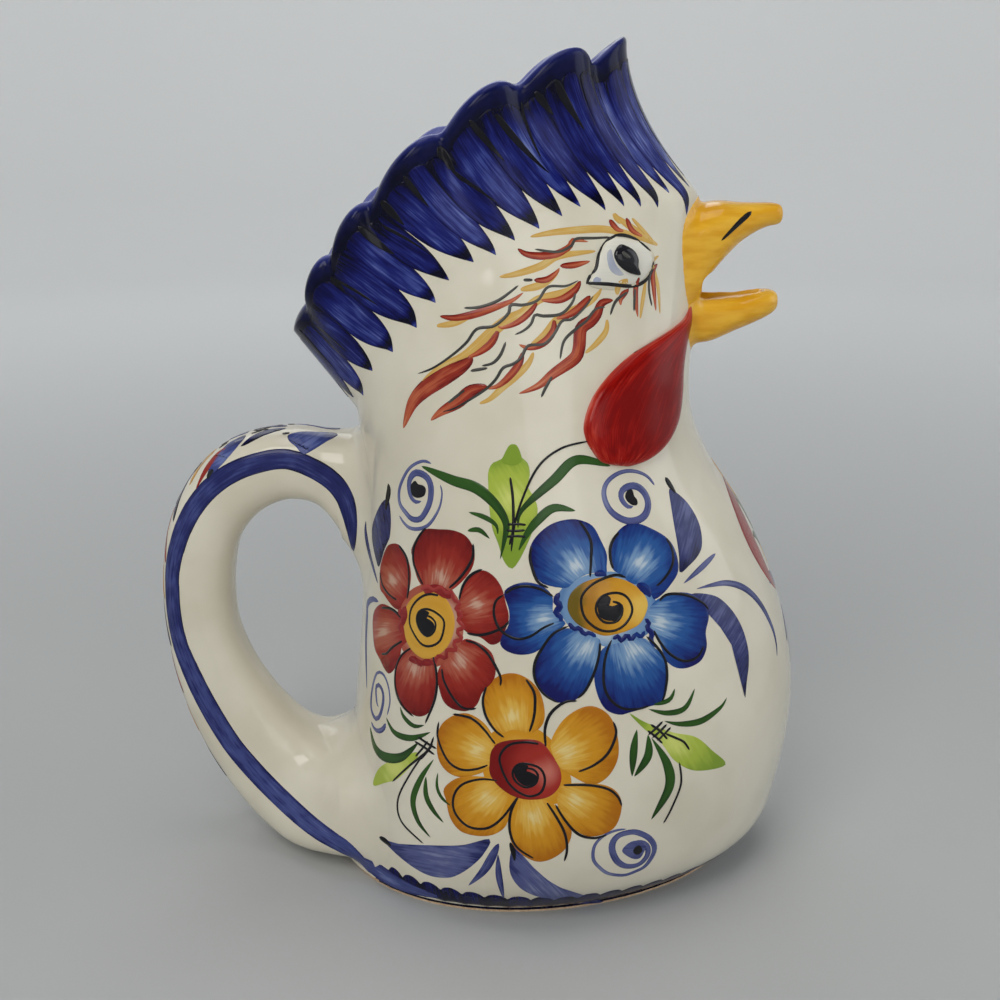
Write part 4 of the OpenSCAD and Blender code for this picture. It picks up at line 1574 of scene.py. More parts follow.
for line, width in BLACK_STEMS:
    stroke(bm, line, width, LINE_LIFT, swell=0.2)
finish_paint("black_linework", bm, liner)


# The sprays of leaves: dark green blades pulled off the brush's tip, and lime buds between them.
# A blade's line, its width, and where along it the blade is widest
GREEN_LEAVES = (
    (((421, 466), (452, 480), (476, 488), (495, 504), (506, 523), (504, 542), (500, 560)), 11, 0.4),
    (((611, 466), (577, 460), (554, 480), (522, 510), (518, 530)), 10, 0.4),
    (((576, 511), (554, 508), (538, 520), (527, 534), (518, 552)), 9, 0.45),
    (((468, 512), (484, 517), (496, 525), (498, 536)), 5, 0.45),
    (((467, 531), (479, 530), (490, 539)), 5, 0.4),
    (((370, 726), (375, 747), (385, 757), (402, 757), (419, 742)), 11, 0.5),
    (((386, 717), (395, 733), (412, 738), (431, 732)), 7, 0.5),
    (((400, 706), (404, 717), (414, 726), (425, 725)), 5.5, 0.5),
    (((434, 759), (421, 778), (413, 800), (418, 821), (431, 838)), 8, 0.5),
    (((426, 776), (426, 795), (433, 810), (444, 823)), 7, 0.45),
    (((438, 772), (437, 786), (442, 798), (453, 807)), 4, 0.5),
    (((675, 688), (669, 700), (651, 705)), 5, 0.5),
    (((695, 688), (685, 708), (667, 713), (648, 709)), 6, 0.5),
    (((727, 697), (720, 708), (701, 721), (680, 724), (664, 721)), 7, 0.5),
    (((637, 729), (634, 748), (632, 777)), 8, 0.5),
    (((648, 734), (648, 756), (634, 777)), 9, 0.5),
    (((651, 737), (667, 764), (669, 788), (651, 820)), 11, 0.55),
)
LIME_BUDS = (
    (
        (508, 447), (513, 444), (518, 447), (521, 456), (528, 463), (530, 474), (528, 486), (534, 497),
        (538, 510), (534, 528), (525, 550), (516, 566), (510, 569), (503, 560), (498, 544), (492, 528),
        (489, 506), (488, 484), (488, 472), (492, 463), (502, 458),
    ),
    ((373, 785), (380, 767), (402, 757), (417, 752), (416, 760), (399, 778), (385, 783)),
    (
        (629, 713), (645, 722), (672, 732), (696, 737), (712, 750), (726, 765), (696, 771), (675, 761),
        (661, 743), (643, 728),
    ),
)
leaf_green = streaked("leaf_green_gloss", (
    (0.0, (84, 124, 48)), (0.45, (44, 84, 26)), (1.0, (20, 48, 14)),
))
bud_lime = streaked("bud_lime_gloss", (
    (0.0, (206, 214, 116)), (0.5, (168, 186, 70)), (1.0, (128, 156, 48)),
), spread=0.45)
BUD_CAP = ((508, 447), (513, 444), (518, 447), (522, 460), (516, 465), (508, 465), (502, 461))
BUD_REACH = 44
BUD_LIFT = 0.08
CAP_LIFT = 0.14
BLADE_LIFT = 0.16
bm = bmesh.new()
for bud in LIME_BUDS:
    dab(bm, bud, BUD_LIFT, from_middle(bud, BUD_REACH), straight_grain(60))
finish_paint("lime_buds", bm, bud_lime)
dabbed("lime_bud_cap", bud_lime, None, [BUD_CAP], CAP_LIFT, flat_tone(1.0), straight_grain(90), sides=40)
bm = bmesh.new()
for line, width, peak in GREEN_LEAVES:
    stroke(bm, line, width, BLADE_LIFT, swell=1.0, tones=(0.35, 0.75), peak=peak, columns=7, edge_tone=0.3)
finish_paint("green_leaves", bm, leaf_green)


# The slate-blue flourishes round the bouquet: snail curls with a dark dot, and long curved leaves.
CURLS = (
    (
        (440, 484), (442, 493), (440, 506), (434, 518), (427, 526), (418, 529), (410, 528), (404, 523),
        (399, 515),
    ),
    (
        (432, 464), (424, 461), (415, 464), (408, 470), (402, 481), (399, 492), (400, 504), (406, 513),
        (412, 519), (420, 519), (426, 511), (430, 501), (431, 488), (428, 479), (422, 474), (415, 473),
        (410, 479), (409, 488), (411, 497), (416, 502), (422, 501),
    ),
    (
        (655, 486), (648, 477), (638, 472), (627, 471), (617, 474), (608, 481), (604, 490), (605, 500),
        (610, 510), (618, 517), (628, 521), (638, 520), (645, 515), (648, 507), (647, 498), (642, 490),
        (635, 486), (627, 487), (622, 491), (621, 497), (624, 503), (629, 507), (634, 506),
    ),
    (
        (627, 829), (618, 830), (609, 833), (601, 838), (595, 845), (593, 853), (594, 861), (600, 868),
        (607, 873), (616, 875), (625, 875), (634, 872), (644, 867), (650, 860), (654, 852), (654, 845),
        (650, 839), (644, 835), (635, 832), (626, 833), (618, 836), (613, 842), (612, 849), (614, 856),
        (618, 862), (625, 866), (634, 866), (641, 863), (647, 856), (648, 849), (645, 844), (639, 842),
        (632, 844), (627, 849), (628, 854), (634, 857),
    ),
    (
        (387, 716), (390, 701), (388, 685), (383, 674), (377, 673), (373, 685), (371, 701), (372, 712),
        (376, 719), (380, 715), (383, 703), (383, 693), (380, 686), (377, 685), (376, 691), (377, 703),
        (379, 708),
    ),
    ((371, 721), (374, 728), (378, 731), (383, 729), (386, 723)),
)
CURL_WIDTHS = (4.0, 7.4, 8.0, 7.4, 5.4, 6.0)
CURL_HEARTS = (
    (
        (414, 481), (411, 485), (411, 491), (413, 496), (418, 498), (424, 496), (426, 491), (425, 487),
        (422, 485), (418, 484), (416, 481),
    ),
    (
        (631, 489), (627, 491), (625, 496), (627, 501), (632, 505), (637, 505), (637, 500), (634, 496),
        (633, 492),
    ),
    ((639, 845), (635, 847), (633, 851), (635, 854), (639, 854), (642, 851), (642, 848)),
)
CURL_FILL = (
    (622, 851), (626, 845), (633, 841), (641, 841), (646, 846), (644, 852), (640, 858), (634, 859),
    (627, 856),
)
# A leaf's line, its width, where it is widest, and its tones from end to end
BLUE_LEAVES = (
    (((366, 520), (366, 534), (370, 555), (378, 584)), 8, 0.5, (0.7, 0.6)),
    (((379, 602), (373, 599), (368, 603), (367, 616), (366, 645), (367, 690)), 9, 0.3, (0.35, 0.3)),
    (((716, 553), (701, 568), (683, 584)), 6, 0.4, (0.3, 0.4)),
    ((
        (696, 589), (712, 585), (726, 583), (740, 586), (752, 594), (763, 608), (772, 627), (776, 643),
        (777, 657),
    ), 8, 0.5, (0.4, 0.5)),
    (((499, 843), (485, 869), (468, 886)), 9, 0.4, (0.5, 0.4)),
    (((498, 854), (499, 876), (504, 900)), 7, 0.5, (0.5, 0.4)),
)
# A leaf's pale spot, how far from it the colour turns dark, its depth, the way of its grain, and its outline
BROAD_LEAVES = (
    ((440, 864), 30, 0.25, 10, (
        (382, 839), (392, 843), (425, 845), (462, 845), (490, 839), (484, 854), (471, 867), (456, 876),
        (445, 878), (430, 876), (414, 868), (396, 854),
    )),
    ((540, 886), 34, 0.25, 45, (
        (513, 844), (520, 858), (534, 868), (548, 880), (566, 890), (588, 897), (604, 902), (580, 904),
        (552, 900), (530, 894), (516, 884), (509, 868),
    )),
    ((688, 512), 40, 0.55, -75, (
        (669, 489), (676, 492), (687, 502), (696, 516), (701, 530), (702, 546), (698, 556), (690, 565),
        (680, 573), (679, 557), (677, 542), (674, 525), (671, 506),
    )),
    ((726, 618), 44, 0.55, -60, (
        (690, 594), (702, 593), (718, 597), (732, 610), (742, 627), (748, 647), (749, 664), (747, 682),
        (745, 699), (742, 676), (738, 657), (729, 641), (718, 624), (709, 610), (699, 600),
    )),
    ((384, 520), 26, 0.7, 80, (
        (389, 501), (391, 519), (390, 536), (387, 544), (384, 551), (379, 567), (376, 560), (373, 546),
        (372, 534), (373, 523), (378, 509), (384, 500),
    )),
)
slate = streaked("curl_slate_gloss", (
    (0.0, (122, 128, 164)), (0.35, (82, 89, 138)), (0.7, (42, 48, 102)), (1.0, (12, 13, 60)),
), across=1.5, spread=0.8)
# A dark tip's line, its width, how far it swells, where it is widest, and its columns
FLOURISH_TIPS = (
    (((388, 483), (389, 490), (387, 502), (386, 512)), 8, 1.0, 0.4, 7),
    (((665, 477), (670, 485), (676, 494)), 7, 0.8, 0.4, 5),
    (((379, 837), (384, 840), (392, 846)), 7, 0.8, 0.45, 5),
    (((510, 842), (513, 850), (515, 862)), 6, 1.0, 0.4, 5),
)
CURL_LIFT = 0.12
BLUE_LEAF_LIFT = 0.13
CURL_FILL_LIFT = 0.14
LEAF_SHADE = 0.35


def leaf_tone(depth, shade):
    """The tone of a broad leaf, which darkens towards its edge."""
    return lambda spots: depth + LEAF_SHADE * shade(spots) * (DAB_RINGS[:, None] ** 2)


bm = bmesh.new()
for line, width in zip(CURLS, CURL_WIDTHS):
    stroke(bm, line, width, CURL_LIFT, swell=0.6, tones=(0.25, 0.35), peak=0.7, tip=0.03, edge_tone=0.3)
dab(bm, CURL_FILL, CURL_FILL_LIFT, flat_tone(0.45), straight_grain(), sides=32)
for line, width, peak, tones in BLUE_LEAVES:
    stroke(bm, line, width, BLUE_LEAF_LIFT, swell=1.0, tones=tones, peak=peak, columns=9, edge_tone=0.35)
for pale, reach, depth, degrees, leaf in BROAD_LEAVES:
    dab(bm, leaf, CURL_LIFT, leaf_tone(depth, from_pale(pale, reach, 1.4)), straight_grain(degrees))
finish_paint("blue_flourishes", bm, slate)
bm = bmesh.new()
for heart in CURL_HEARTS:
    dab(bm, heart, DROP_LIFT, MID_TONE, straight_grain(), sides=32)
for line, width, swell, peak, columns in FLOURISH_TIPS:
    stroke(bm, line, width, DROP_LIFT, swell=swell, tones=(0.7, 0.7), peak=peak, columns=columns)
finish_paint("flourish_tips", bm, liner)


# The comb's strokes: broad blades of cobalt, each pulled from under the lip down to a dark point.
# A stroke holds the angle and ring of its point, the angle of its top, how far it reaches to either side in
# degrees, and its depth of tone.
COMB_STROKES = (
    (180, 2, 180, 4.6, 0.1),
    (171, 6, 173, 4.4, -0.05),
    (161, 2, 167, 5.6, 0.2),
    (149, -5, 159, 6.6, 0.0),
    (138, -2, 149, 5.6, 0.2),
    (126, -4, 138, 6.0, 0.05),
    (115, -4, 127, 5.6, 0.15),
    (107, -2, 118, 4.2, 0.0),
    (101, 1, 111, 3.6, 0.25),
    (93, 1, 103, 4.4, 0.1),
    (87, -1, 95, 3.9, 0.0),
    (81, 0, 88, 4.0, 0.2),
    (74, 0, 80, 4.5, 0.05),
    (67, 1, 72, 4.2, 0.2),
    (61, 2, 65, 3.8, 0.0),
    (55, -1, 58, 3.9, 0.15),
    (49, -1, 51, 3.5, 0.25),
    (43.5, -2, 45, 3.5, 0.1),
    (37, -3, 37, 4.3, 0.15),
    (29.5, 1, 29, 4.9, -0.1),
    (21.5, -6, 20, 5.4, 0.0),
    (12.5, 2, 11, 5.0, -0.1),
    (4.5, 5, 3.5, 4.6, 0.1),
)
COMB_TOP_RING = 40.0
COMB_STROKE_ROWS = 60
COMB_STROKE_COLUMNS = 13
COMB_LIFT = 0.12
COMB_LIFT_STEP = 0.035
COMB_LAYERS = 3
COMB_GRAIN_STEP = (23, 11)
# A stroke's tone: all over, more at its edges, under the lip and at its point, and where the last two begin
COMB_TONE = 0.32
COMB_EDGE_TONE = 0.5
COMB_LIP_TONE = 0.45
COMB_LIP_SHARE = 0.3
COMB_POINT_TONE = 0.6
COMB_POINT_SHARES = (0.82, 0.90)
# The very end of the point thins out again
COMB_END_TONE = 0.7
COMB_END_SHARES = (0.94, 0.96)
COMB_POOL_LIFT = 0.22
COMB_POOL_ROWS = 26
# Black pools where strokes begin and along the notches: angle and ring at both ends, and width in pixels
COMB_POOLS = (
    (131, 40, 129, 30, 7),
    (115, 41, 109, 22, 9),
    (106, 42, 103, 26, 9),
    (98, 40, 95, 24, 6),
    (86, 44, 84, 30, 11),
    (87, 40, 79, 12, 5),
    (77, 41, 72, 22, 7),
    (70, 38, 62, 14, 8),
    (56, 41, 53, 30, 8),
    (50, 40, 46, 22, 9),
    (60, 42, 62, 14, 4),
    (110, 40, 101, 12, 4),
    (130, 38, 122, 12, 4),
    (151, 40, 143, 12, 4),
    (164, 42, 160, 22, 7),
    (29, 40, 33, 12, 3.5),
    (8, 38, 9, 14, 4),
)
TURN_UP = TURN[:len(half_turn) + 1]


def comb_spot(ring, degrees):
    """The place on the jug's outer skin at a ring from the comb's foot and an angle."""
    ring = np.asarray(ring) + OUTER_CREASE
    low = np.floor(ring).astype(int)
    column = np.interp(np.abs(degrees), TURN_UP, np.arange(len(TURN_UP)))
    left = np.minimum(np.floor(column).astype(int), len(TURN_UP) - 2)
    s, u = (column - left)[..., None], (ring - low)[..., None]
    place = mix(
        mix(JUG[low, left], JUG[low, left + 1], s), mix(JUG[low + 1, left], JUG[low + 1, left + 1], s), u,
    )
    place[..., 1] *= np.sign(degrees)
    return place


def ramped(s, start, end):
    return np.clip((s - start) / (end - start), 0, 1)


cobalt = streaked("comb_stroke_gloss", (
    (0.00, (104, 116, 172)), (0.22, (56, 68, 138)), (0.46, (22, 30, 104)), (0.72, (7, 9, 72)),
    (1.00, (2, 2, 28)),
), gloss=0.16, spread=1.0, across=1.5, along=0.05)
bm = bmesh.new()
s = np.linspace(0, 1, COMB_STROKE_ROWS)[:, None]
c = flat_topped(COMB_STROKE_COLUMNS)
middle = COMB_STROKE_COLUMNS // 2
for i, (tip_angle, tip_ring, top_angle, reach, depth) in enumerate(COMB_STROKES):
    ring = mix(COMB_TOP_RING, tip_ring, s) + 0 * c
    blade = np.where(s < 0.5, 1, 1 - (np.clip(s - 0.5, 0, 1) / 0.5) ** 2.2)
    start = np.sqrt(np.clip(s / 0.05, 0, 1))
    angle = mix(top_angle, tip_angle, s) + reach * blade * start * c
    height = np.full(ring.shape, COMB_LIFT + COMB_LIFT_STEP * (i % COMB_LAYERS))
    height[:, [0, -1]] = -PAINT_EDGE_SUNK
    height[[0, -1]] = -PAINT_EDGE_SUNK
    flip = np.where(angle > 180, -1, 1) * np.sign(angle)
    spots = comb_spot(ring, -np.clip(np.where(angle > 180, 360 - angle, angle), 0.01, 180) * flip)
    places = np.array([[laid(p, h) for p, h in zip(row, hs)] for row, hs in zip(spots, height)])
    run = run_along(places[:, middle])
    wide = np.linalg.norm(places - places[:, [middle]], axis=-1) * np.sign(c)
    uvs = np.stack([wide + i * COMB_GRAIN_STEP[0], run[:, None] + i * COMB_GRAIN_STEP[1] + 0 * c], -1)
    tones = (
        COMB_TONE + depth + COMB_EDGE_TONE * np.abs(c) ** 5
        + COMB_LIP_TONE * np.clip((COMB_LIP_SHARE - s) / COMB_LIP_SHARE, 0, 1)
        + COMB_POINT_TONE * ramped(s, *COMB_POINT_SHARES) - COMB_END_TONE * ramped(s, *COMB_END_SHARES)
    )
    lay(bm, places, uvs, tones)
finish_paint("comb_strokes", bm, cobalt)
bm = bmesh.new()
for angle, ring, end_angle, end_ring, width in COMB_POOLS:
    t = np.linspace(0, 1, COMB_POOL_ROWS)
    spine = comb_spot(mix(ring, end_ring, t), -mix(angle, end_angle, t))
    ribbon(bm, spine, width * MM_PER_PX, COMB_POOL_LIFT, swell=1.0, tones=(0.9, 0.9), peak=0.35, columns=7)
pool_black = streaked("comb_pool_gloss", ((0.0, (14, 14, 52)), (1.0, (4, 4, 14))), lift=THIN_FILM)
finish_paint("comb_pools", bm, pool_black)


# The feathers of the cheek: quick strokes in ochre and orange-red, doubled with a grey liner, that fan back
# from the eye to the neck. The same brushes outlined the eye. Beside its pupil lies a bluish-grey painted
# shade, and on the pupil a grey painted highlight.
OCHRE_FEATHERS = (
    (((529, 237), (557, 232), (596, 229), (616, 231), (632, 235), (659, 246)), 6),
    (((614, 215), (632, 228), (659, 246)), 6),
    (((498, 277), (516, 274), (541, 266), (559, 256), (597, 251)), 6),
    (((519, 290), (538, 286), (549, 280), (559, 271)), 6),
    (((435, 326), (455, 323), (475, 314)), 5),
    ((
        (415, 400), (425, 382), (443, 368), (466, 356), (490, 334), (506, 321), (523, 313), (538, 300),
        (566, 291), (581, 281),
    ), 9),
    (((602, 288), (591, 301), (559, 318), (544, 334), (529, 346)), 6),
    (((607, 318), (606, 331), (596, 344), (584, 354)), 5),
    (((534, 351), (528, 364), (516, 376), (503, 387), (490, 399), (478, 404)), 6),
    (((630, 280), (619, 285), (617, 296)), 6),
    (((660, 255), (653, 263), (658, 287), (660, 315)), 4),
    (((646, 279), (643, 299), (640, 320)), 4),
    (((613, 213), (621, 224)), 5),
    (((631, 217), (646, 234), (658, 247)), 4),
)
RED_FEATHERS = (
    (((517, 248), (526, 254), (541, 256), (557, 254), (569, 247), (572, 241), (577, 240), (589, 242)), 6),
    (((559, 266), (574, 265), (591, 261)), 5),
    (((533, 280), (546, 280), (556, 273), (560, 267)), 5),
    (((439, 316), (455, 318), (475, 314), (499, 306), (513, 300), (524, 292)), 6),
    (((581, 280), (574, 291), (559, 300), (539, 300)), 6),
    (((538, 301), (529, 313), (516, 323), (501, 328), (498, 324)), 5),
    (((499, 329), (491, 343), (478, 353), (466, 358)), 6),
    (((473, 356), (465, 364), (443, 377), (425, 389), (412, 404), (403, 429)), 14),
    (((591, 295), (579, 308), (566, 316), (554, 319)), 6),
    (((554, 318), (553, 331), (543, 343), (529, 348), (518, 344)), 6),
    (((523, 351), (519, 364), (509, 377), (498, 386), (486, 389)), 6),
    (((488, 386), (471, 391), (458, 402), (441, 412), (430, 421)), 10),
    ((
        (614, 300), (602, 303), (597, 314), (591, 321), (581, 329), (579, 348), (574, 359), (553, 374),
        (538, 386), (518, 394),
    ), 10),
    (((629, 288), (621, 298), (621, 306)), 5),
    (((658, 263), (653, 272), (654, 290), (656, 312)), 5),
    (((640, 276), (636, 287), (636, 302), (638, 318)), 5),
    (((626, 217), (632, 230), (644, 237)), 5),
    (((609, 219), (617, 229), (625, 231)), 5),
)
GREY_FEATHERS = (
    ((463, 308), (480, 307), (499, 300), (519, 285)),
    ((534, 249), (557, 252), (571, 246), (576, 239), (596, 238), (614, 237)),
    ((523, 280), (533, 280)),
    (
        (579, 280), (566, 286), (548, 287), (538, 300), (524, 305), (511, 305), (508, 314), (494, 326),
        (477, 329), (466, 343), (451, 356), (433, 368), (417, 374),
    ),
    ((576, 291), (572, 303), (561, 314), (544, 316), (535, 315), (531, 324), (523, 331), (514, 335)),
    (
        (594, 295), (584, 308), (572, 319), (562, 321), (554, 334), (544, 344), (528, 346), (521, 358),
        (513, 364), (503, 368), (496, 379), (486, 389), (466, 402), (453, 409), (441, 412),
    ),
    ((506, 341), (501, 354), (493, 363), (481, 366)),
    ((470, 371), (488, 368)),
    ((447, 404), (466, 389)),
    ((629, 291), (616, 301), (610, 316)),
    ((606, 307), (596, 309), (586, 321), (576, 329), (564, 341), (560, 360)),
    ((553, 375), (546, 387), (541, 398)),
    ((654, 260), (650, 275), (649, 290), (652, 307)),
    ((635, 287), (634, 312)),
)
EYE_LINES = (
    ((586, 285), (590, 276), (596, 268), (599, 253), (606, 241), (621, 235), (637, 240), (652, 252)),
    ((585, 283), (607, 284), (632, 286), (645, 281), (652, 271), (654, 260)),
)
ochre_stroke = streaked("feather_ochre_gloss", (
    (0.0, (218, 196, 134)), (0.5, (206, 164, 84)), (1.0, (176, 120, 38)),
), across=1.6, spread=0.7, lift=THIN_FILM)
red_stroke = streaked("feather_red_gloss", (
    (0.0, (208, 142, 104)), (0.35, (182, 90, 58)), (0.7, (146, 44, 30)), (1.0, (94, 12, 12)),
), across=1.6, spread=0.8, lift=THIN_FILM)
grey_stroke_and_glint = streaked("feather_grey_and_glint_gloss", ((0.0, (98, 96, 90)), (1.0, (30, 30, 32))), lift=THIN_FILM)
FEATHER_FULLNESS = 1.35
OCHRE_LIFT = 0.05
RED_LIFT = 0.09
GREY_LIFT = 0.14
GREY_PX = 3.2
EYE_LINE_PX = 4.0
brushed("ochre_feathers", ochre_stroke, "golden_glaze", OCHRE_FEATHERS, OCHRE_LIFT, FEATHER_FULLNESS,
        swell=0.75, tones=(0.35, 0.3), edge_tone=0.35)
brushed("red_feathers", red_stroke, "red_glaze", RED_FEATHERS, RED_LIFT, FEATHER_FULLNESS,
        swell=0.9, tones=(0.7, 0.25), peak=0.4, edge_tone=0.5)
bm = bmesh.new()
for line in GREY_FEATHERS:
    stroke(bm, line, GREY_PX, GREY_LIFT, swell=0.45, tones=(0.35, 0.7))
for line in EYE_LINES:
    stroke(bm, line, EYE_LINE_PX, GREY_LIFT, swell=0.3, tones=(0.8, 0.9))
finish_paint("grey_feathers", bm, grey_stroke_and_glint)
# Painted shade: bluish-grey patches beside the pupil and in the eye's lower corner, darkest in the middle of
# each
EYE_PAINTED_SHADES = (
    ((607, 254), (611, 249), (613, 257), (616, 265), (621, 271), (624, 275), (616, 275), (609, 268)),
    ((593, 281), (596, 277), (601, 279), (599, 283)),
)
EYE_SHADE_LIFT = 0.1
EYE_SHADE_REACH = 30
eye_painted_shade = streaked("eye_painted_shade_gloss", ((0.0, (158, 164, 184)), (1.0, (208, 208, 202))), spread=0.4)
bm = bmesh.new()
for shade in EYE_PAINTED_SHADES:
    dab(bm, shade, EYE_SHADE_LIFT, from_middle(shade, EYE_SHADE_REACH), straight_grain(70), sides=32)
finish_paint("eye_shades", bm, eye_painted_shade)
# A grey painted highlight on each pupil's dome, in the same grey as the feathers' liner
GLINT = ((620, 252), (624, 256), (629, 259))
GLINT_LIFT = 1.62
brushed("pupil_glints", grey_stroke_and_glint, None, [(GLINT, 5)], GLINT_LIFT, swell=1.0)


# The beak's golden collar, brushed a little way over the head, and its nostrils.
FRONT_X = 100.0
BACKWARDS = Vector((-1, 0, 0))
# The collar's edge on the side that the photograph shows, from top to bottom in pixels
COLLAR = ((693, 210), (688, 223), (684, 241), (683, 259), (685, 275), (689, 290), (693, 302))
COLLAR_SHARES = (1.0, 0.97, 0.90, 0.82, 0.74)
COLLAR_LIFT = 0.1
COLLAR_SIDES = 160
near_edge = np.array([seen(spot, TRUNK) for spot in COLLAR])
edge = along_curve(np.concatenate([near_edge, near_edge[::-1] * MIRROR]), COLLAR_SIDES, True)
edge = np.concatenate([edge, edge[:1]])
core = edge.mean(0)
places = np.zeros((len(COLLAR_SHARES), len(edge), 3))
for i, share in enumerate(COLLAR_SHARES):
    for k, place in enumerate(core + (edge - core) * share):
        near, way, _, _ = TRUNK.ray_cast(Vector((FRONT_X, place[1], place[2])), BACKWARDS)
        if way.x < 0:
            way = -way
        places[i, k] = near + way * (COLLAR_LIFT if i else -PAINT_EDGE_SUNK)
places[:, -1] = places[:, 0]
bm = bmesh.new()
sheet(bm, places)
finish_paint("beak_collar", bm, golden)
NOSTRIL = ((752, 211), (741, 221), (730, 232), (721, 241))
brushed("nostrils", liner, None, [(NOSTRIL, 5.6)], DROP_LIFT, swell=0.7, peak=0.3)


# The breast: a pair of long red leaves that hang from the throat, with a spray of small leaves between them.
BREAST_EDGE = ((724, 481), (731, 499), (746, 539), (762, 572), (776, 596))
BREAST_SHIFT = np.array((0.0, 6.5, 0.0))
BREAST_LEAF_W = 14.0
BREAST_LEAF_LIFT = 0.14
BREAST_LEAF_ROWS = 60
SPRAY_LIFT = 0.12
SPRAY_ROWS = 24
SPRAY_ARCH = 3.0
# A small leaf of the spray: its colour, the height and the distance from the middle of its foot and its tip,
# and its width
SPRAY = (
    ("green", (126, 1.5), (146, 12.0), 4.6),
    ("green", (118, 1.5), (128, 15.0), 4.2),
    ("blue", (104, 2.0), (112, 22.0), 5.4),
    ("blue", (96, 2.0), (88, 20.0), 5.4),
    ("green", (92, 1.5), (74, 10.0), 4.6),
    ("ochre", (128, 1.6), (154, 2.6), 4.4),
    ("ochre", (112, 1.6), (124, 6.0), 3.6),
)
SPRAY_FINISH = {
    "green": (leaf_green, None), "blue": (slate, "cobalt_glaze"), "ochre": (ochre_stroke, "golden_glaze"),
}
for colour, (finish, slot) in SPRAY_FINISH.items():
    bm = bmesh.new()
    for kind, foot, tip, width in SPRAY:
        if kind == colour:
            t = np.linspace(0, 1, SPRAY_ROWS)
            high = mix(foot[0], tip[0], t) + SPRAY_ARCH * np.sin(math.pi * t)
            aside = mix(foot[1], tip[1], t)
            spine = [CLAY.ray_cast(Vector((FRONT_X, -y, z)), BACKWARDS)[0] for y, z in zip(aside, high)]
            ribbon(bm, spine, width, SPRAY_LIFT, swell=1.0, tones=(0.4, 0.6), peak=0.5, columns=7,
                   edge_tone=0.3)
    finish_paint("breast_spray_" + colour, bm, finish)
bm = bmesh.new()
spine = [laid(seen(spot) + BREAST_SHIFT, 0) for spot in along_curve(BREAST_EDGE, BREAST_LEAF_ROWS)]
ribbon(bm, spine, BREAST_LEAF_W, BREAST_LEAF_LIFT, swell=1.0, tones=(0.7, 0.3), peak=0.5, columns=9,
       edge_tone=0.3)
finish_paint("breast_leaves", bm, petal_red)


# The band round the base: overlapping scallops of navy, dabbed on as the jug turned on its wheel.
BAND_LOW = 0.5
BAND_HIGH = 9.6
SCALLOP_H = 3.2
SCALLOP_W = 8.4
BAND_LIFT = 0.14
BAND_AXIS_X = -20.0
BAND_FAR = 200.0
BAND_COLUMNS = 640
BAND_ROWS = 11
BAND_END_DEG = 141.0
BAND_FADE_DEG = 9.0
BAND_SAMPLES = 1201
BAND_EDGE_OVER = 0.05
BAND_GRAIN_W = 8
BAND_THINNING = 0.3
SCALLOP_POWER = 0.55


def from_outside(degrees, height):
    """The outermost place on the clay at an angle round the jug and a height over the table."""
    way = Vector((math.cos(math.radians(degrees)), math.sin(math.radians(degrees)), 0))
    start = Vector((BAND_AXIS_X, 0, height)) + way * BAND_FAR
    return np.array(CLAY.ray_cast(start, -way)[0])


around = np.linspace(-BAND_END_DEG, BAND_END_DEG, BAND_SAMPLES)
outline = np.array([from_outside(a, BAND_HIGH) for a in around])
run = run_along(outline)
scallops = round(run[-1] / SCALLOP_W)
steps = np.linspace(0, run[-1], BAND_COLUMNS)
angles = np.interp(steps, run, around)
phase = steps / run[-1] * scallops
fade = np.sqrt(np.clip((BAND_END_DEG - np.abs(angles)) / BAND_FADE_DEG, 0, 1))
scallop = np.abs(np.sin(math.pi * phase))
edge = BAND_LOW + (BAND_HIGH - BAND_LOW + SCALLOP_H * scallop**SCALLOP_POWER) * fade + BAND_EDGE_OVER
places = np.zeros((BAND_ROWS, BAND_COLUMNS, 3))
tones = np.zeros((BAND_ROWS, BAND_COLUMNS))
for i in range(BAND_ROWS):
    up = i / (BAND_ROWS - 1)
    for k in range(BAND_COLUMNS):
        rim = i in (0, BAND_ROWS - 1) or k in (0, BAND_COLUMNS - 1)
        place = from_outside(angles[k], mix(BAND_LOW, edge[k], up))
        places[i, k] = laid(place, -PAINT_EDGE_SUNK if rim else BAND_LIFT)
        tones[i, k] = 1.0 - BAND_THINNING * up * scallop[k]
band_uv = np.stack(np.broadcast_arrays(steps, np.linspace(0, BAND_GRAIN_W, BAND_ROWS)[:, None]), -1)
bm = bmesh.new()
sheet(bm, places, band_uv, tones)
finish_paint("base_band", bm, cobalt)


# The handle's paint: a long slate stripe down each edge, leaves at its top, and a garland along its back.
# A line of pixels and its width
HANDLE_DASHES = (
    (((282, 434), (290, 433)), 4),
    (((255, 432), (263, 430), (270, 430)), 3),
    (((274, 431), (281, 430)), 3),
    (((214, 469), (209, 475), (208, 480)), 6),
)
STRIPE = (
    (440, 897), (404, 886), (368, 865), (347, 850), (316, 829), (287, 804), (256, 773), (230, 742),
    (206, 703), (189, 669), (178, 641), (172, 608), (171, 572), (176, 546), (186, 520), (202, 496),
    (224, 477), (253, 464), (284, 459), (310, 467), (332, 481), (345, 498), (350, 516), (352, 534),
    (353, 552),
)
HANDLE_LEAVES = (
    (
        (288, 435), (300, 432), (316, 432), (338, 434), (326, 442), (308, 453), (302, 454), (296, 447),
        (289, 441),
    ),
    ((246, 435), (238, 446), (226, 460), (217, 470), (209, 478), (208, 472), (216, 458), (228, 444)),
)
RED_HANDLE_LEAF = (
    (228, 446), (220, 455), (210, 468), (202, 480), (196, 490), (198, 483), (205, 468), (216, 454),
)
STRIPE_PX = 23
STRIPE_LIFT = 0.16
HANDLE_LEAF_LIFT = 0.2
HANDLE_LEAF_REACH = 40
DASH_LIFT = 0.26
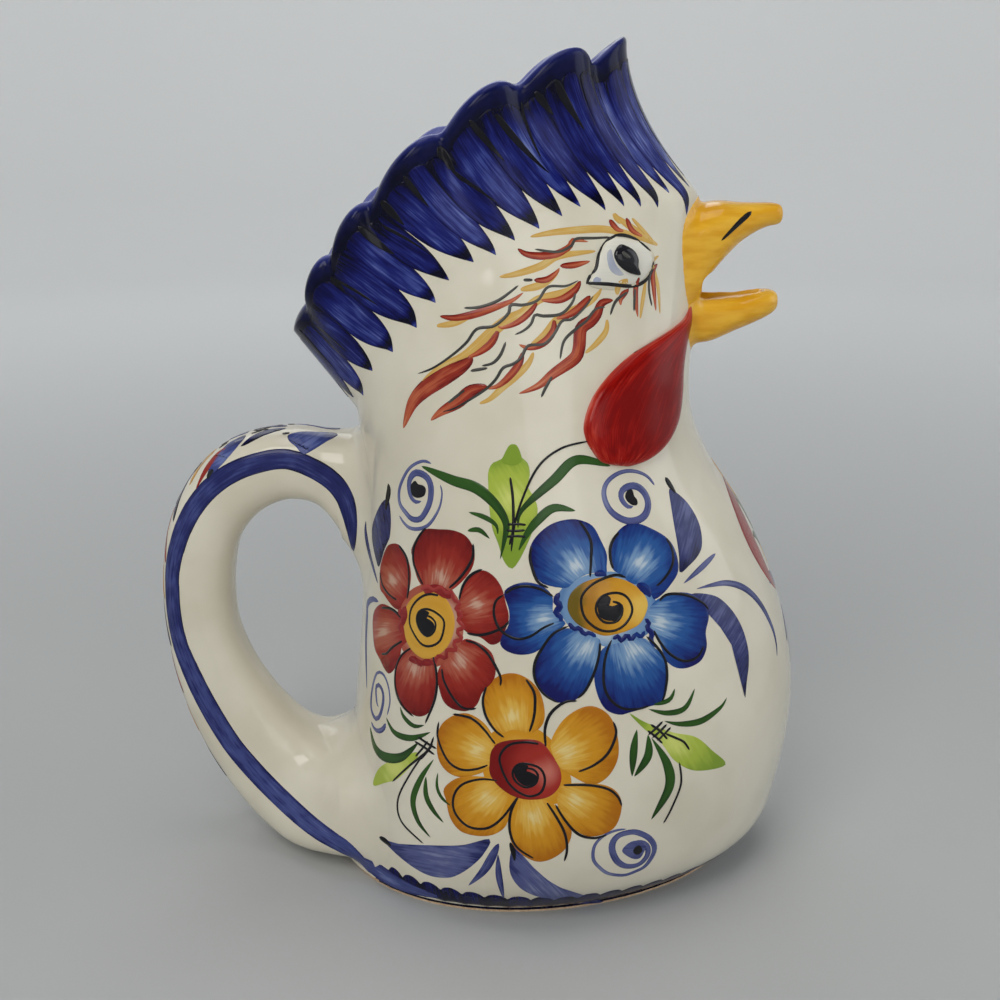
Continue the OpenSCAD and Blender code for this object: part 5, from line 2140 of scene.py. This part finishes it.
stripe_blue = streaked("handle_stripe_gloss", (
    (0.0, (104, 116, 168)), (0.3, (64, 74, 132)), (0.65, (30, 36, 94)), (1.0, (8, 8, 48)),
), across=1.3, spread=0.7)
bm = bmesh.new()
stroke(bm, STRIPE, STRIPE_PX, STRIPE_LIFT, swell=0.1, tones=(0.25, 0.6), columns=11, edge_tone=0.35)
for leaf in HANDLE_LEAVES:
    dab(bm, leaf, HANDLE_LEAF_LIFT, from_middle(leaf, HANDLE_LEAF_REACH), straight_grain(150))
finish_paint("handle_stripes", bm, stripe_blue)
dabbed("handle_red_leaves", petal_red, "red_glaze", [RED_HANDLE_LEAF], HANDLE_LEAF_LIFT, MID_TONE,
       straight_grain(130))
brushed("handle_dashes", liner, None, HANDLE_DASHES, DASH_LIFT, swell=0.8)
# A leaf of the garland: its colour, where it starts and ends along the handle, the angles it bends through,
# and its width
GARLAND = (
    ("blue", 3.3, 4.6, (3, 14, 36), 5.0),
    ("ochre", 5.5, 6.6, (3, 12, 32), 3.8),
    ("blue", 6.4, 7.7, (3, 14, 36), 5.0),
    ("red", 7.5, 8.8, (3, 14, 35), 4.6),
    ("ochre", 8.6, 9.7, (3, 12, 32), 3.8),
    ("blue", 9.5, 10.8, (3, 14, 36), 5.0),
    ("red", 10.6, 11.9, (3, 14, 35), 4.6),
    ("ochre", 11.7, 12.8, (3, 12, 32), 3.8),
    ("blue", 12.6, 13.9, (3, 14, 34), 5.0),
)
GARLAND_FINISH = {
    "blue": (cobalt, "cobalt_glaze"),
    "red": (red_stroke, "red_glaze"),
    "ochre": (ochre_stroke, "golden_glaze"),
}
GARLAND_ROWS = 26
GARLAND_LIFT = 0.15
# The dashes between the leaves: where each starts, how long it is, and the angles it lies at
DASH_STARTS = np.arange(4.0, 13.6, 1.05)
DASH_SPAN = 0.3
DASH_DEG = (2, 5)
DASH_W = 1.3
DASH_ROWS = 14
GARLAND_DASH_LIFT = 0.22
for colour, (finish, slot) in GARLAND_FINISH.items():
    bm = bmesh.new()
    for kind, start, end, bend, width in GARLAND:
        if kind == colour:
            t = np.linspace(0, 1, GARLAND_ROWS)
            degrees = blend_at([[b] for b in bend], t * 2)[:, 0]
            spine = handle_places(mix(start, end, t), -np.radians(degrees))
            ribbon(bm, spine, width, GARLAND_LIFT, swell=1.0, tones=(0.5, 0.8), columns=7, edge_tone=0.3)
    finish_paint("garland_" + colour, bm, finish)
bm = bmesh.new()
for t in DASH_STARTS:
    along = t + np.linspace(0, DASH_SPAN, DASH_ROWS)
    spine = handle_places(along, -np.radians(np.linspace(*DASH_DEG, DASH_ROWS)))
    ribbon(bm, spine, DASH_W, GARLAND_DASH_LIFT, swell=0.8)
finish_paint("garland_dashes", bm, liner)
